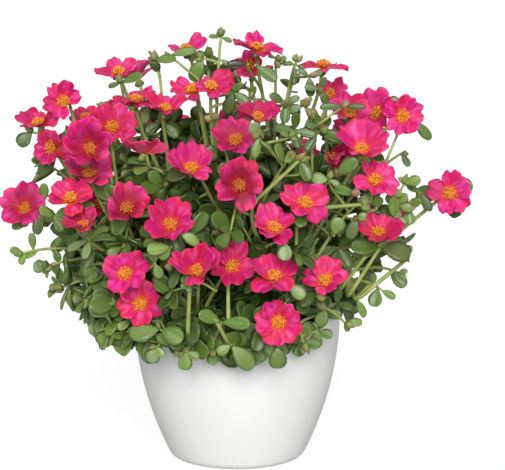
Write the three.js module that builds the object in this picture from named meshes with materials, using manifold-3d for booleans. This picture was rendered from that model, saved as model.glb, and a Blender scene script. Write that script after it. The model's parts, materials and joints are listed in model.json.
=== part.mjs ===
// A portulaca (moss rose) in full bloom in a plain white pot, at real size.
// Units are millimetres, +Z is up, and the origin is on the pot's axis at the level of its foot.
// -Y is the front. The plant is a dome of branching shoots that are rooted in the potting mix:
// each shoot is a forked stem with its leaves, and each bloom sits on the end of one fork.
import * as THREE from 'three';
import { mergeVertices } from 'three/addons/utils/BufferGeometryUtils.js';
import Module from 'manifold-3d';

const wasm = await Module();
wasm.setup();

// ---------------------------------------------------------------- driving dimensions

const GAP = 0.3; // between pieces that touch
const UP = new THREE.Vector3(0, 0, 1);

const POT = {
  height: 118,
  rimRadius: 81,
  footRadius: 51.5, // where the wall would meet the ground without its rounding
  belly: 2.05, // how soon the wall turns upright, as a power of the height left
  wall: 2.6,
  floor: 3.5,
  footRound: 10, // radius between the wall and the foot
  footTurn: 63, // degrees that the rounding turns through
  drainRadius: 4,
  drainCircle: 26,
  drainCount: 4,
  segments: 40,
};

const SOIL = { top: 106, crown: 5, segments: 24 };

const STEM = {
  mainRadius: 2.4,
  forkRadius: 1.4,
  sides: 4,
  forkSteps: 5,
  rootDepth: 14,
  socketRadius: 3.3, // of the six-sided hole in the mix that a shoot stands in
  mainSteps: 5,
  mainShare: 0.5, // how far the main stem goes towards the middle of its tips
  mainLift: 14,
  firstFork: 0.45, // how far along the main stem the lowest fork leaves it
  forkOpen: 0.35, // 0 leaves along the main stem, 1 straight to the tip
  // How far back and aside a fork may swing behind its tip. The first that is clear is taken.
  bends: [[16, 0], [30, 0], [24, 16], [24, -16], [44, 0], [40, 24], [40, -24], [66, 0], [80, 20]],
};

const BLOOM = { segments: 15, lobe: 0.14, cup: 0.16, calyx: 7, boss: 0.27 };

const LEAF = { length: 19, width: 11, thickness: 1.9 };

// A shoot is [root x, root y], the blooms on its forks as [x, y, z, turn, tilt, diameter] and the
// tips of its leafy sprigs as [x, y, z]. Turn is the bloom's facing from the front (-Y) towards
// the right (+X), tilt is its facing above level, both in degrees.
const SHOOTS = {
  left: {
    root: [-38, -6],
    blooms: [
      [-132, -20, 286, -10, 12, 30],
      [-153, -10, 269, -30, 58, 33],
      [-144, -35, 253, -65, 8, 28],
      [-165, -20, 204, -15, 12, 37],
      [-118, 6, 274, -20, 50, 24],
    ],
    sprigs: [[-165, -30, 168], [-143, -46, 161], [-150, 12, 231]],
  },
  left_front: {
    root: [-34, -28],
    blooms: [
      [-111, -90, 263, -10, 2, 38],
      [-94, -55, 270, 8, 12, 34],
      [-109, -69, 236, 0, 52, 34],
      [-122, -96, 223, -8, 40, 33],
      [-83, -110, 218, 5, 20, 35],
      [-107, -32, 208, -10, 25, 24],
      [-115, -100, 200, -35, 55, 30],
    ],
    sprigs: [[-114, -70, 140], [-134, -42, 143], [-100, -66, 116]],
  },
  left_top: {
    root: [-20, 6],
    blooms: [
      [-92, 10, 307, 0, 40, 36],
      [-77, -30, 289, 5, 72, 31],
      [-55, -50, 287, 12, 45, 30],
      [-67, -90, 261, 0, 80, 36],
    ],
    sprigs: [[-63, 0, 313], [-105, 40, 271]],
  },
  top: {
    root: [-8, -8],
    blooms: [
      [-36, 10, 324, 0, 55, 31],
      [-34, -28, 297, -25, 50, 33],
      [-17, -50, 300, 20, 45, 33],
    ],
    sprigs: [[-12, 0, 333], [-24, 34, 313]],
  },
  top_right: {
    root: [16, 4],
    blooms: [
      [16, 0, 326, 8, 50, 37],
      [10, 34, 306, 0, 25, 30],
      [66, 0, 311, 10, 80, 36],
      [73, 25, 290, -10, 35, 27],
    ],
    sprigs: [[31, 0, 315], [46, -6, 314], [45, 44, 294]],
  },
  right_top: {
    root: [32, -14],
    blooms: [
      [85, -40, 279, -5, 45, 35],
      [108, -8, 278, -35, 10, 36],
      [126, -35, 277, 12, 8, 34],
      [93, -75, 258, 3, 45, 40],
      [69, -56, 247, -20, 5, 24],
    ],
    sprigs: [[57, -40, 275], [129, 16, 239]],
  },
  right: {
    root: [40, -2],
    blooms: [
      [104, -78, 233, 8, 22, 33],
      [166, -10, 213, -5, 5, 35],
      [107, -70, 195, 8, 60, 36],
    ],
    sprigs: [[131, -36, 205], [125, -44, 172], [124, -38, 154], [111, -40, 141]],
  },
  front_right: {
    root: [26, -36],
    blooms: [
      [49, -100, 220, 15, 15, 35],
      [29, -125, 209, 5, 28, 35],
      [67, -95, 165, 12, 15, 33],
      [27, -122, 170, 3, 30, 36],
      [32, -108, 134, 0, -2, 35],
    ],
    sprigs: [[82, -84, 124], [93, -74, 214], [61, -78, 138], [51, -86, 108]],
  },
  front_top: {
    root: [2, -22],
    blooms: [
      [3, -125, 238, 3, 14, 39],
      [-32, -105, 249, -5, 22, 35],
      [1, -90, 267, -12, 22, 34],
      [17, -65, 281, 8, 32, 32],
    ],
    sprigs: [[41, -98, 253], [18, -104, 269], [-17, -76, 278]],
  },
  front_left: {
    root: [-12, -42],
    blooms: [
      [-47, -120, 209, -5, 15, 36],
      [-84, -112, 170, -10, 8, 33],
      [-71, -100, 144, -8, 2, 35],
      [-28, -135, 179, 0, 42, 38],
      [-2, -104, 175, 5, 12, 34],
    ],
    sprigs: [[-57, -88, 110], [-35, -92, 107], [-17, -96, 106], [7, -96, 106], [-81, -72, 114]],
  },
  back_right: { root: [26, 30], blooms: [], sprigs: [] },
  back: { root: [0, 42], blooms: [], sprigs: [] },
  back_left: { root: [-28, 30], blooms: [], sprigs: [] },
};

// The three shoots at the back follow a rule: blooms and sprigs in rows on the dome.
const DOME = { radius: 148, height: 142, centre: 195 };
const BACK = {
  turns: { back_right: 122, back: 180, back_left: 238 },
  bloomRows: [296, 244, 190],
  bloomSwing: 17, // degrees to either side of the shoot's own turn
  bloomDiameter: 34,
  sprigRows: [222, 162, 112],
  sprigSwing: 25,
};

// ---------------------------------------------------------------- solids

function solidOf(geometry) {
  const bare = geometry.index ? geometry.toNonIndexed() : geometry.clone();
  bare.deleteAttribute('normal');
  bare.deleteAttribute('uv');
  const merged = mergeVertices(bare, 1e-3);
  return new wasm.Manifold(new wasm.Mesh({
    numProp: 3,
    vertProperties: new Float32Array(merged.attributes.position.array),
    triVerts: new Uint32Array(merged.index.array),
  }));
}

function geometryOf(solid) {
  const mesh = solid.getMesh();
  const geometry = new THREE.BufferGeometry();
  geometry.setAttribute('position', new THREE.BufferAttribute(mesh.vertProperties, 3));
  geometry.setIndex(new THREE.BufferAttribute(mesh.triVerts, 1));
  geometry.computeVertexNormals();
  return geometry;
}

// A solid turned about +Z. LatheGeometry turns its profile about Y, so it is tipped upright.
function turned(profile, segments) {
  const points = profile.map(([r, z]) => new THREE.Vector2(r, z));
  return solidOf(new THREE.LatheGeometry(points, segments).rotateX(Math.PI / 2));
}

function tube(curve, radius, steps) {
  const section = new THREE.Shape();
  for (let i = 0; i < STEM.sides; i++) {
    const a = (i / STEM.sides) * 2 * Math.PI;
    const [x, y] = [radius * Math.cos(a), radius * Math.sin(a)];
    if (i === 0) section.moveTo(x, y);
    else section.lineTo(x, y);
  }
  section.closePath();
  return solidOf(new THREE.ExtrudeGeometry(section, { extrudePath: curve, steps, curveSegments: 1 }));
}

function cylinder(radius, length, sides, x, y, z) {
  const upright = new THREE.CylinderGeometry(radius, radius, length, sides).rotateX(Math.PI / 2);
  return solidOf(upright.translate(x, y, z));
}

// ---------------------------------------------------------------- pot and potting mix

function wallRadius(z) {
  const left = 1 - Math.min(Math.max(z / POT.height, 0), 1);
  return POT.footRadius + (POT.rimRadius - POT.footRadius) * (1 - left ** POT.belly);
}

// Points on the wall from height low to height high, moved inwards by inset.
function wallLine(low, high, inset, count) {
  return Array.from({ length: count + 1 }, (_, i) => {
    const z = low + ((high - low) * i) / count;
    return [wallRadius(z) - inset, z];
  });
}

function pot() {
  const { height, wall, floor, footRound, footTurn } = POT;
  const cornerTop = footRound * (1 - Math.cos(THREE.MathUtils.degToRad(footTurn)));
  const standing = wallRadius(cornerTop) - footRound * Math.sin(THREE.MathUtils.degToRad(footTurn));
  const corner = [0.25, 0.5, 0.75].map((share) => {
    const a = THREE.MathUtils.degToRad(footTurn * share);
    return [standing + footRound * Math.sin(a), footRound * (1 - Math.cos(a))];
  });
  const profile = [
    [0, 0],
    [standing, 0],
    ...corner,
    ...wallLine(cornerTop, height - wall / 2, 0, 8),
    [wallRadius(height) - wall * 0.2, height - wall * 0.2],
    [wallRadius(height) - wall / 2, height],
    [wallRadius(height) - wall, height - wall / 2],
    ...wallLine(floor + footRound, height - 2 * wall, wall, 5).reverse(),
    [wallRadius(floor) - wall - 0.8 * footRound, floor + 0.2 * footRound],
    [wallRadius(floor) - wall - 1.4 * footRound, floor],
    [0, floor],
  ];
  let shell = turned(profile, POT.segments);
  for (let i = 0; i < POT.drainCount; i++) {
    const a = ((i + 0.5) / POT.drainCount) * 2 * Math.PI;
    const [x, y] = [POT.drainCircle * Math.cos(a), POT.drainCircle * Math.sin(a)];
    shell = shell.subtract(cylinder(POT.drainRadius, 4 * floor, 12, x, y, floor));
  }
  return shell;
}

function soil() {
  const inset = POT.wall + GAP;
  const low = POT.floor + GAP;
  const profile = [
    [0, low],
    [wallRadius(POT.floor) - inset - 1.4 * POT.footRound, low],
    ...wallLine(POT.floor + POT.footRound, SOIL.top, inset + 1.5 * GAP, 5),
    [0.72 * wallRadius(SOIL.top), SOIL.top + 0.3 * SOIL.crown],
    [0.35 * wallRadius(SOIL.top), SOIL.top + 0.85 * SOIL.crown],
    [0, SOIL.top + SOIL.crown],
  ];
  let mix = turned(profile, SOIL.segments);
  const depth = STEM.rootDepth + GAP;
  for (const { root: [x, y] } of Object.values(SHOOTS)) {
    mix = mix.subtract(cylinder(STEM.socketRadius, 4 * depth, 6, x, y, SOIL.top + depth));
  }
  return mix;
}

// ---------------------------------------------------------------- blooms and leaves

function facing(turn, tilt) {
  const [a, e] = [THREE.MathUtils.degToRad(turn), THREE.MathUtils.degToRad(tilt)];
  return new THREE.Vector3(Math.sin(a) * Math.cos(e), -Math.cos(a) * Math.cos(e), Math.sin(e));
}

// Five joined petals as one shallow lobed cup, with the boss of stamens in front and the calyx
// behind. The origin is where the petals meet, and the bloom faces direction.
function bloomSolid([x, y, z, turn, tilt, diameter], name) {
  const r = diameter / 2;
  const profile = [
    [0, -BLOOM.calyx],
    [r, BLOOM.cup * r],
    [BLOOM.boss * r, 1.2],
    [0, 0.26 * r],
  ].map(([px, py]) => new THREE.Vector2(px, py));
  const shape = new THREE.LatheGeometry(profile, BLOOM.segments);
  const at = shape.attributes.position;
  for (let i = 0; i < at.count; i++) {
    const [px, pz] = [at.getX(i), at.getZ(i)];
    const petal = (Math.atan2(px, pz) / (2 * Math.PI)) * 5;
    const notch = Math.hypot(px, pz) > 0.5 * r && Math.abs(petal - Math.round(petal)) < 0.1;
    const share = notch ? 1 - 2 * BLOOM.lobe : 1;
    at.setXYZ(i, px * share, at.getY(i), pz * share);
  }
  const place = new THREE.Object3D();
  place.quaternion.setFromUnitVectors(new THREE.Vector3(0, 1, 0), facing(turn, tilt));
  place.position.set(x, y, z);
  place.updateMatrix();
  return { name, solid: solidOf(shape.applyMatrix4(place.matrix)) };
}

// A fleshy leaf as a lens over a five-sided spoon outline, from its base along direction.
function leafSolid(base, direction, flat, length) {
  const side = new THREE.Vector3().crossVectors(flat, direction).normalize();
  const face = new THREE.Vector3().crossVectors(direction, side).normalize();
  const half = (length * LEAF.width) / LEAF.length / 2;
  const thick = (length * LEAF.thickness) / LEAF.length / 2;
  const at = (along, across, out) => base.clone()
    .addScaledVector(direction, along * length)
    .addScaledVector(side, across * half)
    .addScaledVector(face, out * thick);
  const rim = [at(0, 0, 0), at(0.55, -1, 0), at(0.97, -0.5, 0), at(0.97, 0.5, 0), at(0.55, 1, 0)];
  const [front, back] = [at(0.62, 0, 1), at(0.62, 0, -1)];
  const corners = rim.flatMap((p, i) => {
    const q = rim[(i + 1) % rim.length];
    return [front, p, q, back, q, p];
  });
  return solidOf(new THREE.BufferGeometry().setFromPoints(corners));
}

// ---------------------------------------------------------------- shoots

const point = ([x, y, z]) => new THREE.Vector3(x, y, z);

function onDome(turn, z) {
  const r = DOME.radius * Math.sqrt(1 - ((z - DOME.centre) / DOME.height) ** 2);
  const a = THREE.MathUtils.degToRad(turn);
  return [r * Math.sin(a), -r * Math.cos(a), z];
}

function fillBackShoots() {
  for (const [name, turn] of Object.entries(BACK.turns)) {
    SHOOTS[name].joinedBlooms = BACK.bloomRows.map((z, i) => {
      const swung = turn + BACK.bloomSwing * [-0.4, 1, -1][i % 3];
      const tilt = (55 * (z - 140)) / (BACK.bloomRows[0] - 140);
      return [...onDome(swung, z), swung, tilt, BACK.bloomDiameter - (i % 3) * 2];
    });
    SHOOTS[name].sprigs = BACK.sprigRows.map((z, i) => {
      const swung = turn + BACK.sprigSwing * [1, -1, 0.1][i % 3];
      return onDome(swung, z).map((v, axis) => (axis < 2 ? v * 0.9 : v));
    });
  }
}

// The middle of a tube, which runs straight between its steps.
function alongTube(curve, steps, share) {
  const points = curve.getSpacedPoints(steps);
  const step = Math.min(Math.floor(share * steps), steps - 1);
  return points[step].clone().lerp(points[step + 1], share * steps - step);
}

// A shoot's main stem, and a list of possible forks for each tip. Low forks leave the stem first.
function curvesOf({ root, blooms, joinedBlooms = [], sprigs }) {
  const flowers = [...blooms, ...joinedBlooms];
  const tips = [...flowers.map((b) => point(b)), ...sprigs.map(point)];
  const middle = tips.reduce((sum, p) => sum.add(p), new THREE.Vector3()).divideScalar(tips.length);
  const foot = new THREE.Vector3(root[0], root[1], SOIL.top - STEM.rootDepth);
  const neck = foot.clone().setZ(SOIL.top + SOIL.crown + 2);
  const rise = neck.clone().addScaledVector(UP, STEM.mainLift);
  const top = neck.clone().lerp(middle, STEM.mainShare);
  const above = rise.clone().lerp(top, 0.5);
  const main = new THREE.CubicBezierCurve3(neck.clone().setZ(neck.z - 1), rise, above, top);
  const order = tips.map((tip) => tip.z).sort((a, b) => a - b);
  const forks = tips.map((tip, i) => {
    const share = order.indexOf(tip.z) / (tips.length - 1);
    const at = STEM.firstFork + (0.98 - STEM.firstFork) * share;
    const hub = alongTube(main, STEM.mainSteps, at);
    const length = hub.distanceTo(tip);
    const out = main.getTangentAt(at).lerp(tip.clone().sub(hub).normalize(), STEM.forkOpen);
    const leave = hub.clone().addScaledVector(out, 0.3 * length);
    if (i >= flowers.length) {
      return STEM.bends.map(([back, aside]) => {
        const side = new THREE.Vector3().crossVectors(tip, UP).normalize();
        const before = tip.clone().lerp(hub, 0.35).addScaledVector(UP, back);
        return new THREE.CubicBezierCurve3(hub, leave, before.addScaledVector(side, aside), tip);
      });
    }
    const look = facing(flowers[i][3], flowers[i][4]);
    const end = tip.clone().addScaledVector(look, 1.5 - BLOOM.calyx - (blooms[i] ? 1.8 : 0));
    const side = new THREE.Vector3().crossVectors(look, UP).normalize();
    return STEM.bends.map(([back, aside]) => {
      const before = end.clone().addScaledVector(look, -back).addScaledVector(side, aside);
      return new THREE.CubicBezierCurve3(hub, leave, before, end);
    });
  });
  return { buried: new THREE.LineCurve3(foot, neck), main, forks, flowers: flowers.length };
}

// Leaves stand round a fork by the golden angle, from share first to share last of its length.
function leavesAlong(curve, first, last, count, spread, size, start) {
  return Array.from({ length: count }, (_, i) => {
    const t = first + ((last - first) * i) / Math.max(count - 1, 1);
    const tangent = curve.getTangentAt(t);
    const across = new THREE.Vector3().crossVectors(tangent, UP);
    if (across.length() < 0.2) across.set(1, 0, 0);
    across.normalize().applyAxisAngle(tangent, (start + i) * 2.4);
    const direction = across.clone().addScaledVector(tangent, spread).normalize();
    return leafSolid(alongTube(curve, STEM.forkSteps, t), direction, tangent, size * (1 - 0.08 * (i % 3)));
  });
}

// ---------------------------------------------------------------- the whole object

const placed = []; // each as { owner, solid, low, high }

function clearOf(solid, owner) {
  const { min, max } = solid.boundingBox();
  return placed.every((other) => other.owner === owner
    || [0, 1, 2].some((k) => min[k] > other.high[k] + GAP || max[k] < other.low[k] - GAP)
    || solid.minGap(other.solid, 2 * GAP) > 0.9 * GAP);
}

function place(owner, solid) {
  const { min, max } = solid.boundingBox();
  placed.push({ owner, solid, low: min, high: max });
}

function material(color, roughness, metalness = 0) {
  return new THREE.MeshStandardMaterial({ color, roughness, metalness });
}

const LOOKS = {
  pot: material(0xe9e9e7, 0.35),
  soil: material(0x33261b, 0.95),
  shoot: material(0x5c7a38, 0.5),
  bloom: material(0xe23488, 0.6),
};

function meshOf(name, solid, look) {
  const mesh = new THREE.Mesh(geometryOf(solid), look);
  mesh.name = name;
  return mesh;
}

fillBackShoots();

const plant = new THREE.Group();
const potSolid = pot();
const soilSolid = soil();
place('pot', potSolid);
place('soil', soilSolid);
plant.add(meshOf('pot', potSolid, LOOKS.pot), meshOf('soil', soilSolid, LOOKS.soil));

for (const [name, shoot] of Object.entries(SHOOTS)) {
  shoot.blooms.forEach((row, i) => {
    const bloom = bloomSolid(row, `bloom_${name}_${i + 1}`);
    place(bloom.name, bloom.solid);
    plant.add(meshOf(bloom.name, bloom.solid, LOOKS.bloom));
  });
}

const shoots = Object.entries(SHOOTS).map(([name, shoot]) => {
  const owner = `shoot_${name}`;
  const { buried, main, forks, flowers } = curvesOf(shoot);
  const stems = [tube(buried, STEM.mainRadius, 1), tube(main, STEM.mainRadius, STEM.mainSteps)];
  stems.forEach((stem) => place(owner, stem));
  const chosen = forks.map((curves, i) => {
    const tubes = curves.map((curve) => tube(curve, STEM.forkRadius, STEM.forkSteps));
    const free = Math.max(tubes.findIndex((fork) => clearOf(fork, owner)), 0);
    place(owner, tubes[free]);
    stems.push(tubes[free]);
    return { curve: curves[free], bloom: i < flowers };
  });
  (shoot.joinedBlooms ?? []).forEach((row) => {
    const { solid } = bloomSolid(row);
    place(owner, solid);
    stems.push(solid);
  });
  return { owner, forks: chosen, solids: stems };
});

for (const { owner, forks, solids } of shoots) {
  forks.forEach(({ curve, bloom }, i) => {
    const leaves = bloom
      ? leavesAlong(curve, 0.7, 0.9, 2, 0.4, LEAF.length * 0.95, i)
      : leavesAlong(curve, 0.7, 0.97, 4, 0.5, LEAF.length, i);
    for (const leaf of leaves) {
      if (!clearOf(leaf, owner)) continue;
      place(owner, leaf);
      solids.push(leaf);
    }
  });
  const pieces = wasm.Manifold.union(solids).decompose();
  const [joined] = pieces.sort((a, b) => b.volume() - a.volume()); // without slivers between forks
  plant.add(meshOf(owner, joined, LOOKS.shoot));
}

export default plant;
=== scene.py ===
"""A potted portulaca in full bloom: the looks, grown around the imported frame."""

import json
import math
from collections import namedtuple
from dataclasses import dataclass
from functools import lru_cache

import bpy
import numpy as np
from bpy.props import FloatProperty, FloatVectorProperty, IntProperty, PointerProperty
from mathutils import Matrix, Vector
from mathutils.bvhtree import BVHTree
from numpy.linalg import norm

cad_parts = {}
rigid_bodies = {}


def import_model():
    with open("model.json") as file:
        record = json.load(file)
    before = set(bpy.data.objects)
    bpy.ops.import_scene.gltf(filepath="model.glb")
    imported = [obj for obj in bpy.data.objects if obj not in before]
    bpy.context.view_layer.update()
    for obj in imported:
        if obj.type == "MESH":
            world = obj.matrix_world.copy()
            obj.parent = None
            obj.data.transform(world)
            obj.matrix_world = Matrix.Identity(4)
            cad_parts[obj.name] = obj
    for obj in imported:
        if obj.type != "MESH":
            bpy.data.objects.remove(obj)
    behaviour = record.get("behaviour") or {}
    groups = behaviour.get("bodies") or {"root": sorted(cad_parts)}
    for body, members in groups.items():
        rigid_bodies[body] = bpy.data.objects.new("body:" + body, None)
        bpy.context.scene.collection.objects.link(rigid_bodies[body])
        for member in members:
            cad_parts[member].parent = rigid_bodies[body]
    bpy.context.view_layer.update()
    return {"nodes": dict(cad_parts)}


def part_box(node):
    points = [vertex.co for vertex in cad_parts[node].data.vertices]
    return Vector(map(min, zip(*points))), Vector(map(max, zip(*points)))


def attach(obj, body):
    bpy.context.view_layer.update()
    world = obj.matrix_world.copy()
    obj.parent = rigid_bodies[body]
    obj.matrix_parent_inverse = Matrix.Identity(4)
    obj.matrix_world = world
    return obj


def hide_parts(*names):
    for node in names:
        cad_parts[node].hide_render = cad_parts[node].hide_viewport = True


bl_info = {
    "name": "Potted Portulaca",
    "version": (1, 0, 0),
    "blender": (4, 5, 0),
    "location": "View3D > Sidebar > Portulaca",
    "description": "Grows a potted portulaca: pot, mix, stems, leaves, buds, petals and stamens",
    "category": "Add Mesh",
}

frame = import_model()
BODY = "root"
UP = np.array([0.0, 0.0, 1.0])
MM = 0.001

# The plant's plan, in millimetres. -Y is the front. A shoot has the place of its root in the mix and
# the tips of its leafy sprigs; its blooms are read from the frame.
SHOOTS = {
    "left": ((-38, -6), [(-165, -30, 168), (-143, -46, 161), (-150, 12, 231)]),
    "left_front": ((-34, -28), [(-114, -70, 140), (-134, -42, 143), (-100, -66, 116)]),
    "left_top": ((-20, 6), [(-63, 0, 313), (-105, 40, 271)]),
    "top": ((-8, -8), [(-12, 0, 333), (-24, 34, 313)]),
    "top_right": ((16, 4), [(31, 0, 315), (46, -6, 314), (45, 44, 294)]),
    "right_top": ((32, -14), [(57, -40, 275), (129, 16, 239)]),
    "right": (
        (40, -2),
        [(131, -36, 205), (125, -44, 172), (124, -38, 154), (111, -40, 141)],
    ),
    "front_right": (
        (26, -36),
        [(82, -84, 124), (93, -74, 214), (61, -78, 138), (51, -86, 108)],
    ),
    "front_top": ((2, -22), [(41, -98, 253), (18, -104, 269), (-17, -76, 278)]),
    "front_left": (
        (-12, -42),
        [(-57, -88, 110), (-35, -92, 107), (-17, -96, 106), (7, -96, 106),
         (-81, -72, 114)],
    ),
}
BACK_SHOOTS = {  # root in the mix, and turn in degrees from the front
    "back_right": ((26, 30), 122),
    "back": ((0, 42), 180),
    "back_left": ((-28, 30), 238),
}
ALL_SHOOTS = [*SHOOTS, *BACK_SHOOTS]

# The back, in metres and degrees.
DOME = {"radius": 0.148, "height": 0.142, "centre": 0.195}  # the outline that the back follows
LEVEL_BLOOM = 0.14  # height where the blooms at the back face level
BACK_BLOOM_ROWS = ((0.296, -0.4), (0.244, 1), (0.19, -1))  # height, and turn as a share of the swing
BACK_BLOOM_SWING = 17
BACK_BLOOM_TILT = 55  # of the top row
BACK_BLOOM_RADIUS = 0.017
BACK_DRAWN_IN = {"back_right_1": 0.8, "back_right_3": 0.88}  # blooms that open nearer to the pot's axis
BACK_SPRIG_ROWS = ((0.222, 1), (0.162, -1), (0.112, 0.1))
BACK_SPRIG_SWING = 25
BACK_SPRIG_REACH = 0.9
BACK_ADDED = {  # turn and height of more blooms at the back
    "back_right": [(124, 0.262), (130, 0.218), (142, 0.204), (132, 0.165)],
    "back": [(157, 0.222), (180, 0.25), (177, 0.214), (184, 0.163), (150, 0.160)],
    "back_left": [(236, 0.262), (216, 0.252), (229, 0.222), (243, 0.203), (240, 0.163), (203, 0.196)],
}
ADDED_BLOOM_TILT = 300  # degrees for each metre above the level ones
ADDED_BLOOM_REACH = 0.95
ADDED_BLOOM_RADIUS = 0.0165

# How each bloom opens: degrees that its petals' axis leans up and aside from its solid's, the slope of
# its petals at the base and at the rim, half a petal's width as a share of its length, the turn of
# its first petal, how coral it is, how light its eye is (a dark eye also paints shade into its cup and
# onto its stamens), its size as a share of its solid's, and how far its eye sits right of and below its
# solid's middle in millimetres.
HABITS = {
    "left_1": (0, 16, 30, 4, 0.34, 44, 0.30, 1.0, 1.1, -2, 1.2),
    "left_2": (4, 0, 34, 20, 0.44, 30, 0.45, 0.8, 1.04, -0.5, 2.2),
    "left_3": (-4, 38, 36, 14, 0.5, 60, 0.25, 0.5, 1.15, 2, 1.4),
    "left_4": (12, 12, 44, 16, 0.4, 13, 0.12, 0.25, 1.0, 0, 3.7),
    "left_5": (5, 0, 30, 8, 0.50, 0, 0.60, 0.3, 1.05, 0, 5.5),
    "left_front_1": (24, 4, 50, 26, 0.46, 54, 0.20, 0.2, 1.0, 2.3, 6),
    "left_front_2": (20, -6, 42, 16, 0.56, 30, 0.62, 0.6, 1.0, 0, 2.2),
    "left_front_3": (6, 0, 44, 20, 0.55, 54, 0.5, 0.5, 1.06, -2, 0.6),
    "left_front_4": (14, 0, 36, 2, 0.50, 54, 0.72, 0.95, 1.0, -1.3, 2.2),
    "left_front_5": (20, 6, 40, 26, 0.46, 20, 0.5, 0.12, 0.95, 1.6, 3.0),
    "left_front_6": (8, 0, 40, 20, 0.52, 10, 0.85, 0.3, 1.0, 2, 2),
    "left_front_7": (8, 0, 42, 30, 0.46, 40, 0.85, 0.6, 1.0, 1, -1.2),
    "left_top_1": (20, 0, 32, 18, 0.28, 18, 0.35, 0.9, 0.86, 0, 3.8),
    "left_top_2": (-2, 0, 22, 6, 0.46, 0, 0.70, 0.7, 1.12, 0, 1.5),
    "left_top_3": (20, 0, 42, 26, 0.36, 36, 0.62, 0.9, 1.0, 1, 5.2),
    "left_top_4": (12, 0, 34, 22, 0.5, 20, 1.0, 0.6, 1.05, -3, 4),
    "top_1": (0, -8, 30, 20, 0.3, 54, 0.12, 0.7, 1.0, -3.4, 2),
    "top_2": (8, 4, 22, 10, 0.4, 12, 0.62, 1.0, 1.0, 0, 2.2),
    "top_3": (10, -6, 28, 16, 0.4, 30, 0.45, 1.0, 1.0, -2, 0.6),
    "top_right_1": (24, 0, 26, 14, 0.42, 50, 0.30, 0.8, 1.0, 0, 2.4),
    "top_right_2": (14, 0, 46, 24, 0.48, 20, 0.45, 0.6, 0.8, 0, 0.5),
    "top_right_3": (4, 0, 12, -12, 0.46, 0, 0.40, 0.9, 1.0, 1, 0),
    "top_right_4": (8, 0, 38, 24, 0.46, 54, 0.5, 1.0, 1.0, 0, 6),
    "right_top_1": (12, 0, 36, 16, 0.46, 18, 0.42, 0.9, 1.0, 1.5, 2.2),
    "right_top_2": (20, 0, 42, 14, 0.50, 40, 0.15, 0.7, 1.0, 0, 5.2),
    "right_top_3": (6, -2, 34, 4, 0.47, 8, 0.15, 1.0, 1.0, 1, 2.2),
    "right_top_4": (12, 0, 46, 26, 0.52, 40, 0.42, 0.9, 1.0, 1, 3.7),
    "right_top_5": (0, 62, 62, 60, 0.46, 40, 0.75, 0.1, 0.8, 0, 1),
    "right_1": (16, 0, 36, 6, 0.42, 18, 0.40, 1.0, 1.0, 0, 1.4),
    "right_2": (4, 0, 34, 4, 0.47, 18, 0.20, 1.0, 1.0, -0.5, 1.4),
    "right_3": (-4, 0, 34, 20, 0.46, 0, 0.80, 0.8, 1.0, 0, 3.7),
    "front_right_1": (18, -4, 40, 8, 0.44, 40, 0.55, 1.0, 1.0, 2.4, 2.2),
    "front_right_2": (18, 8, 36, 14, 0.46, 20, 0.25, 1.0, 1.0, -1.3, 6),
    "front_right_3": (16, -8, 40, 16, 0.55, 54, 0.72, 1.0, 1.0, 0, 6.8),
    "front_right_4": (22, 0, 42, 12, 0.46, 30, 0.42, 0.9, 1.0, 1, 3.7),
    "front_right_5": (8, 0, 36, 6, 0.54, 54, 0.48, 1.0, 1.1, -0.6, 4.2),
    "front_top_1": (4, 0, 48, 4, 0.44, 65, 0.45, 0.0, 0.95, -0.6, 2.2),
    "front_top_2": (26, 0, 44, 24, 0.46, 18, 0.10, 0.85, 1.0, -1.3, 5.3),
    "front_top_3": (16, 0, 42, 14, 0.50, 40, 0.10, 0.3, 1.0, -1.4, 3.7),
    "front_top_4": (24, 4, 38, 16, 0.46, 54, 0.7, 0.6, 1.0, -0.6, 4.5),
    "front_left_1": (20, 4, 44, 22, 0.42, 63, 0.38, 0.65, 1.0, -1.3, 4.5),
    "front_left_2": (12, 0, 40, 16, 0.50, 48, 0.15, 1.0, 1.0, 1.6, 3),
    "front_left_3": (2, 0, 32, 4, 0.55, 8, 0.58, 1.0, 1.0, -1.3, 1.4),
    "front_left_4": (4, 0, 42, 28, 0.54, 54, 0.50, 0.6, 0.95, -0.6, 5.3),
    "front_left_5": (14, 0, 40, 22, 0.36, 18, 0.55, 0.85, 1.0, -1.2, 4.2),
    "back_right_1": (0, 0, 16, -6, 0.46, 0, 0.3, 0.6, 0.8, 0, 10),
    "back_right_3": (0, 24, 56, 50, 0.46, 0, 0.2, 0.3, 0.8, 0, 2),
}

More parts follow.
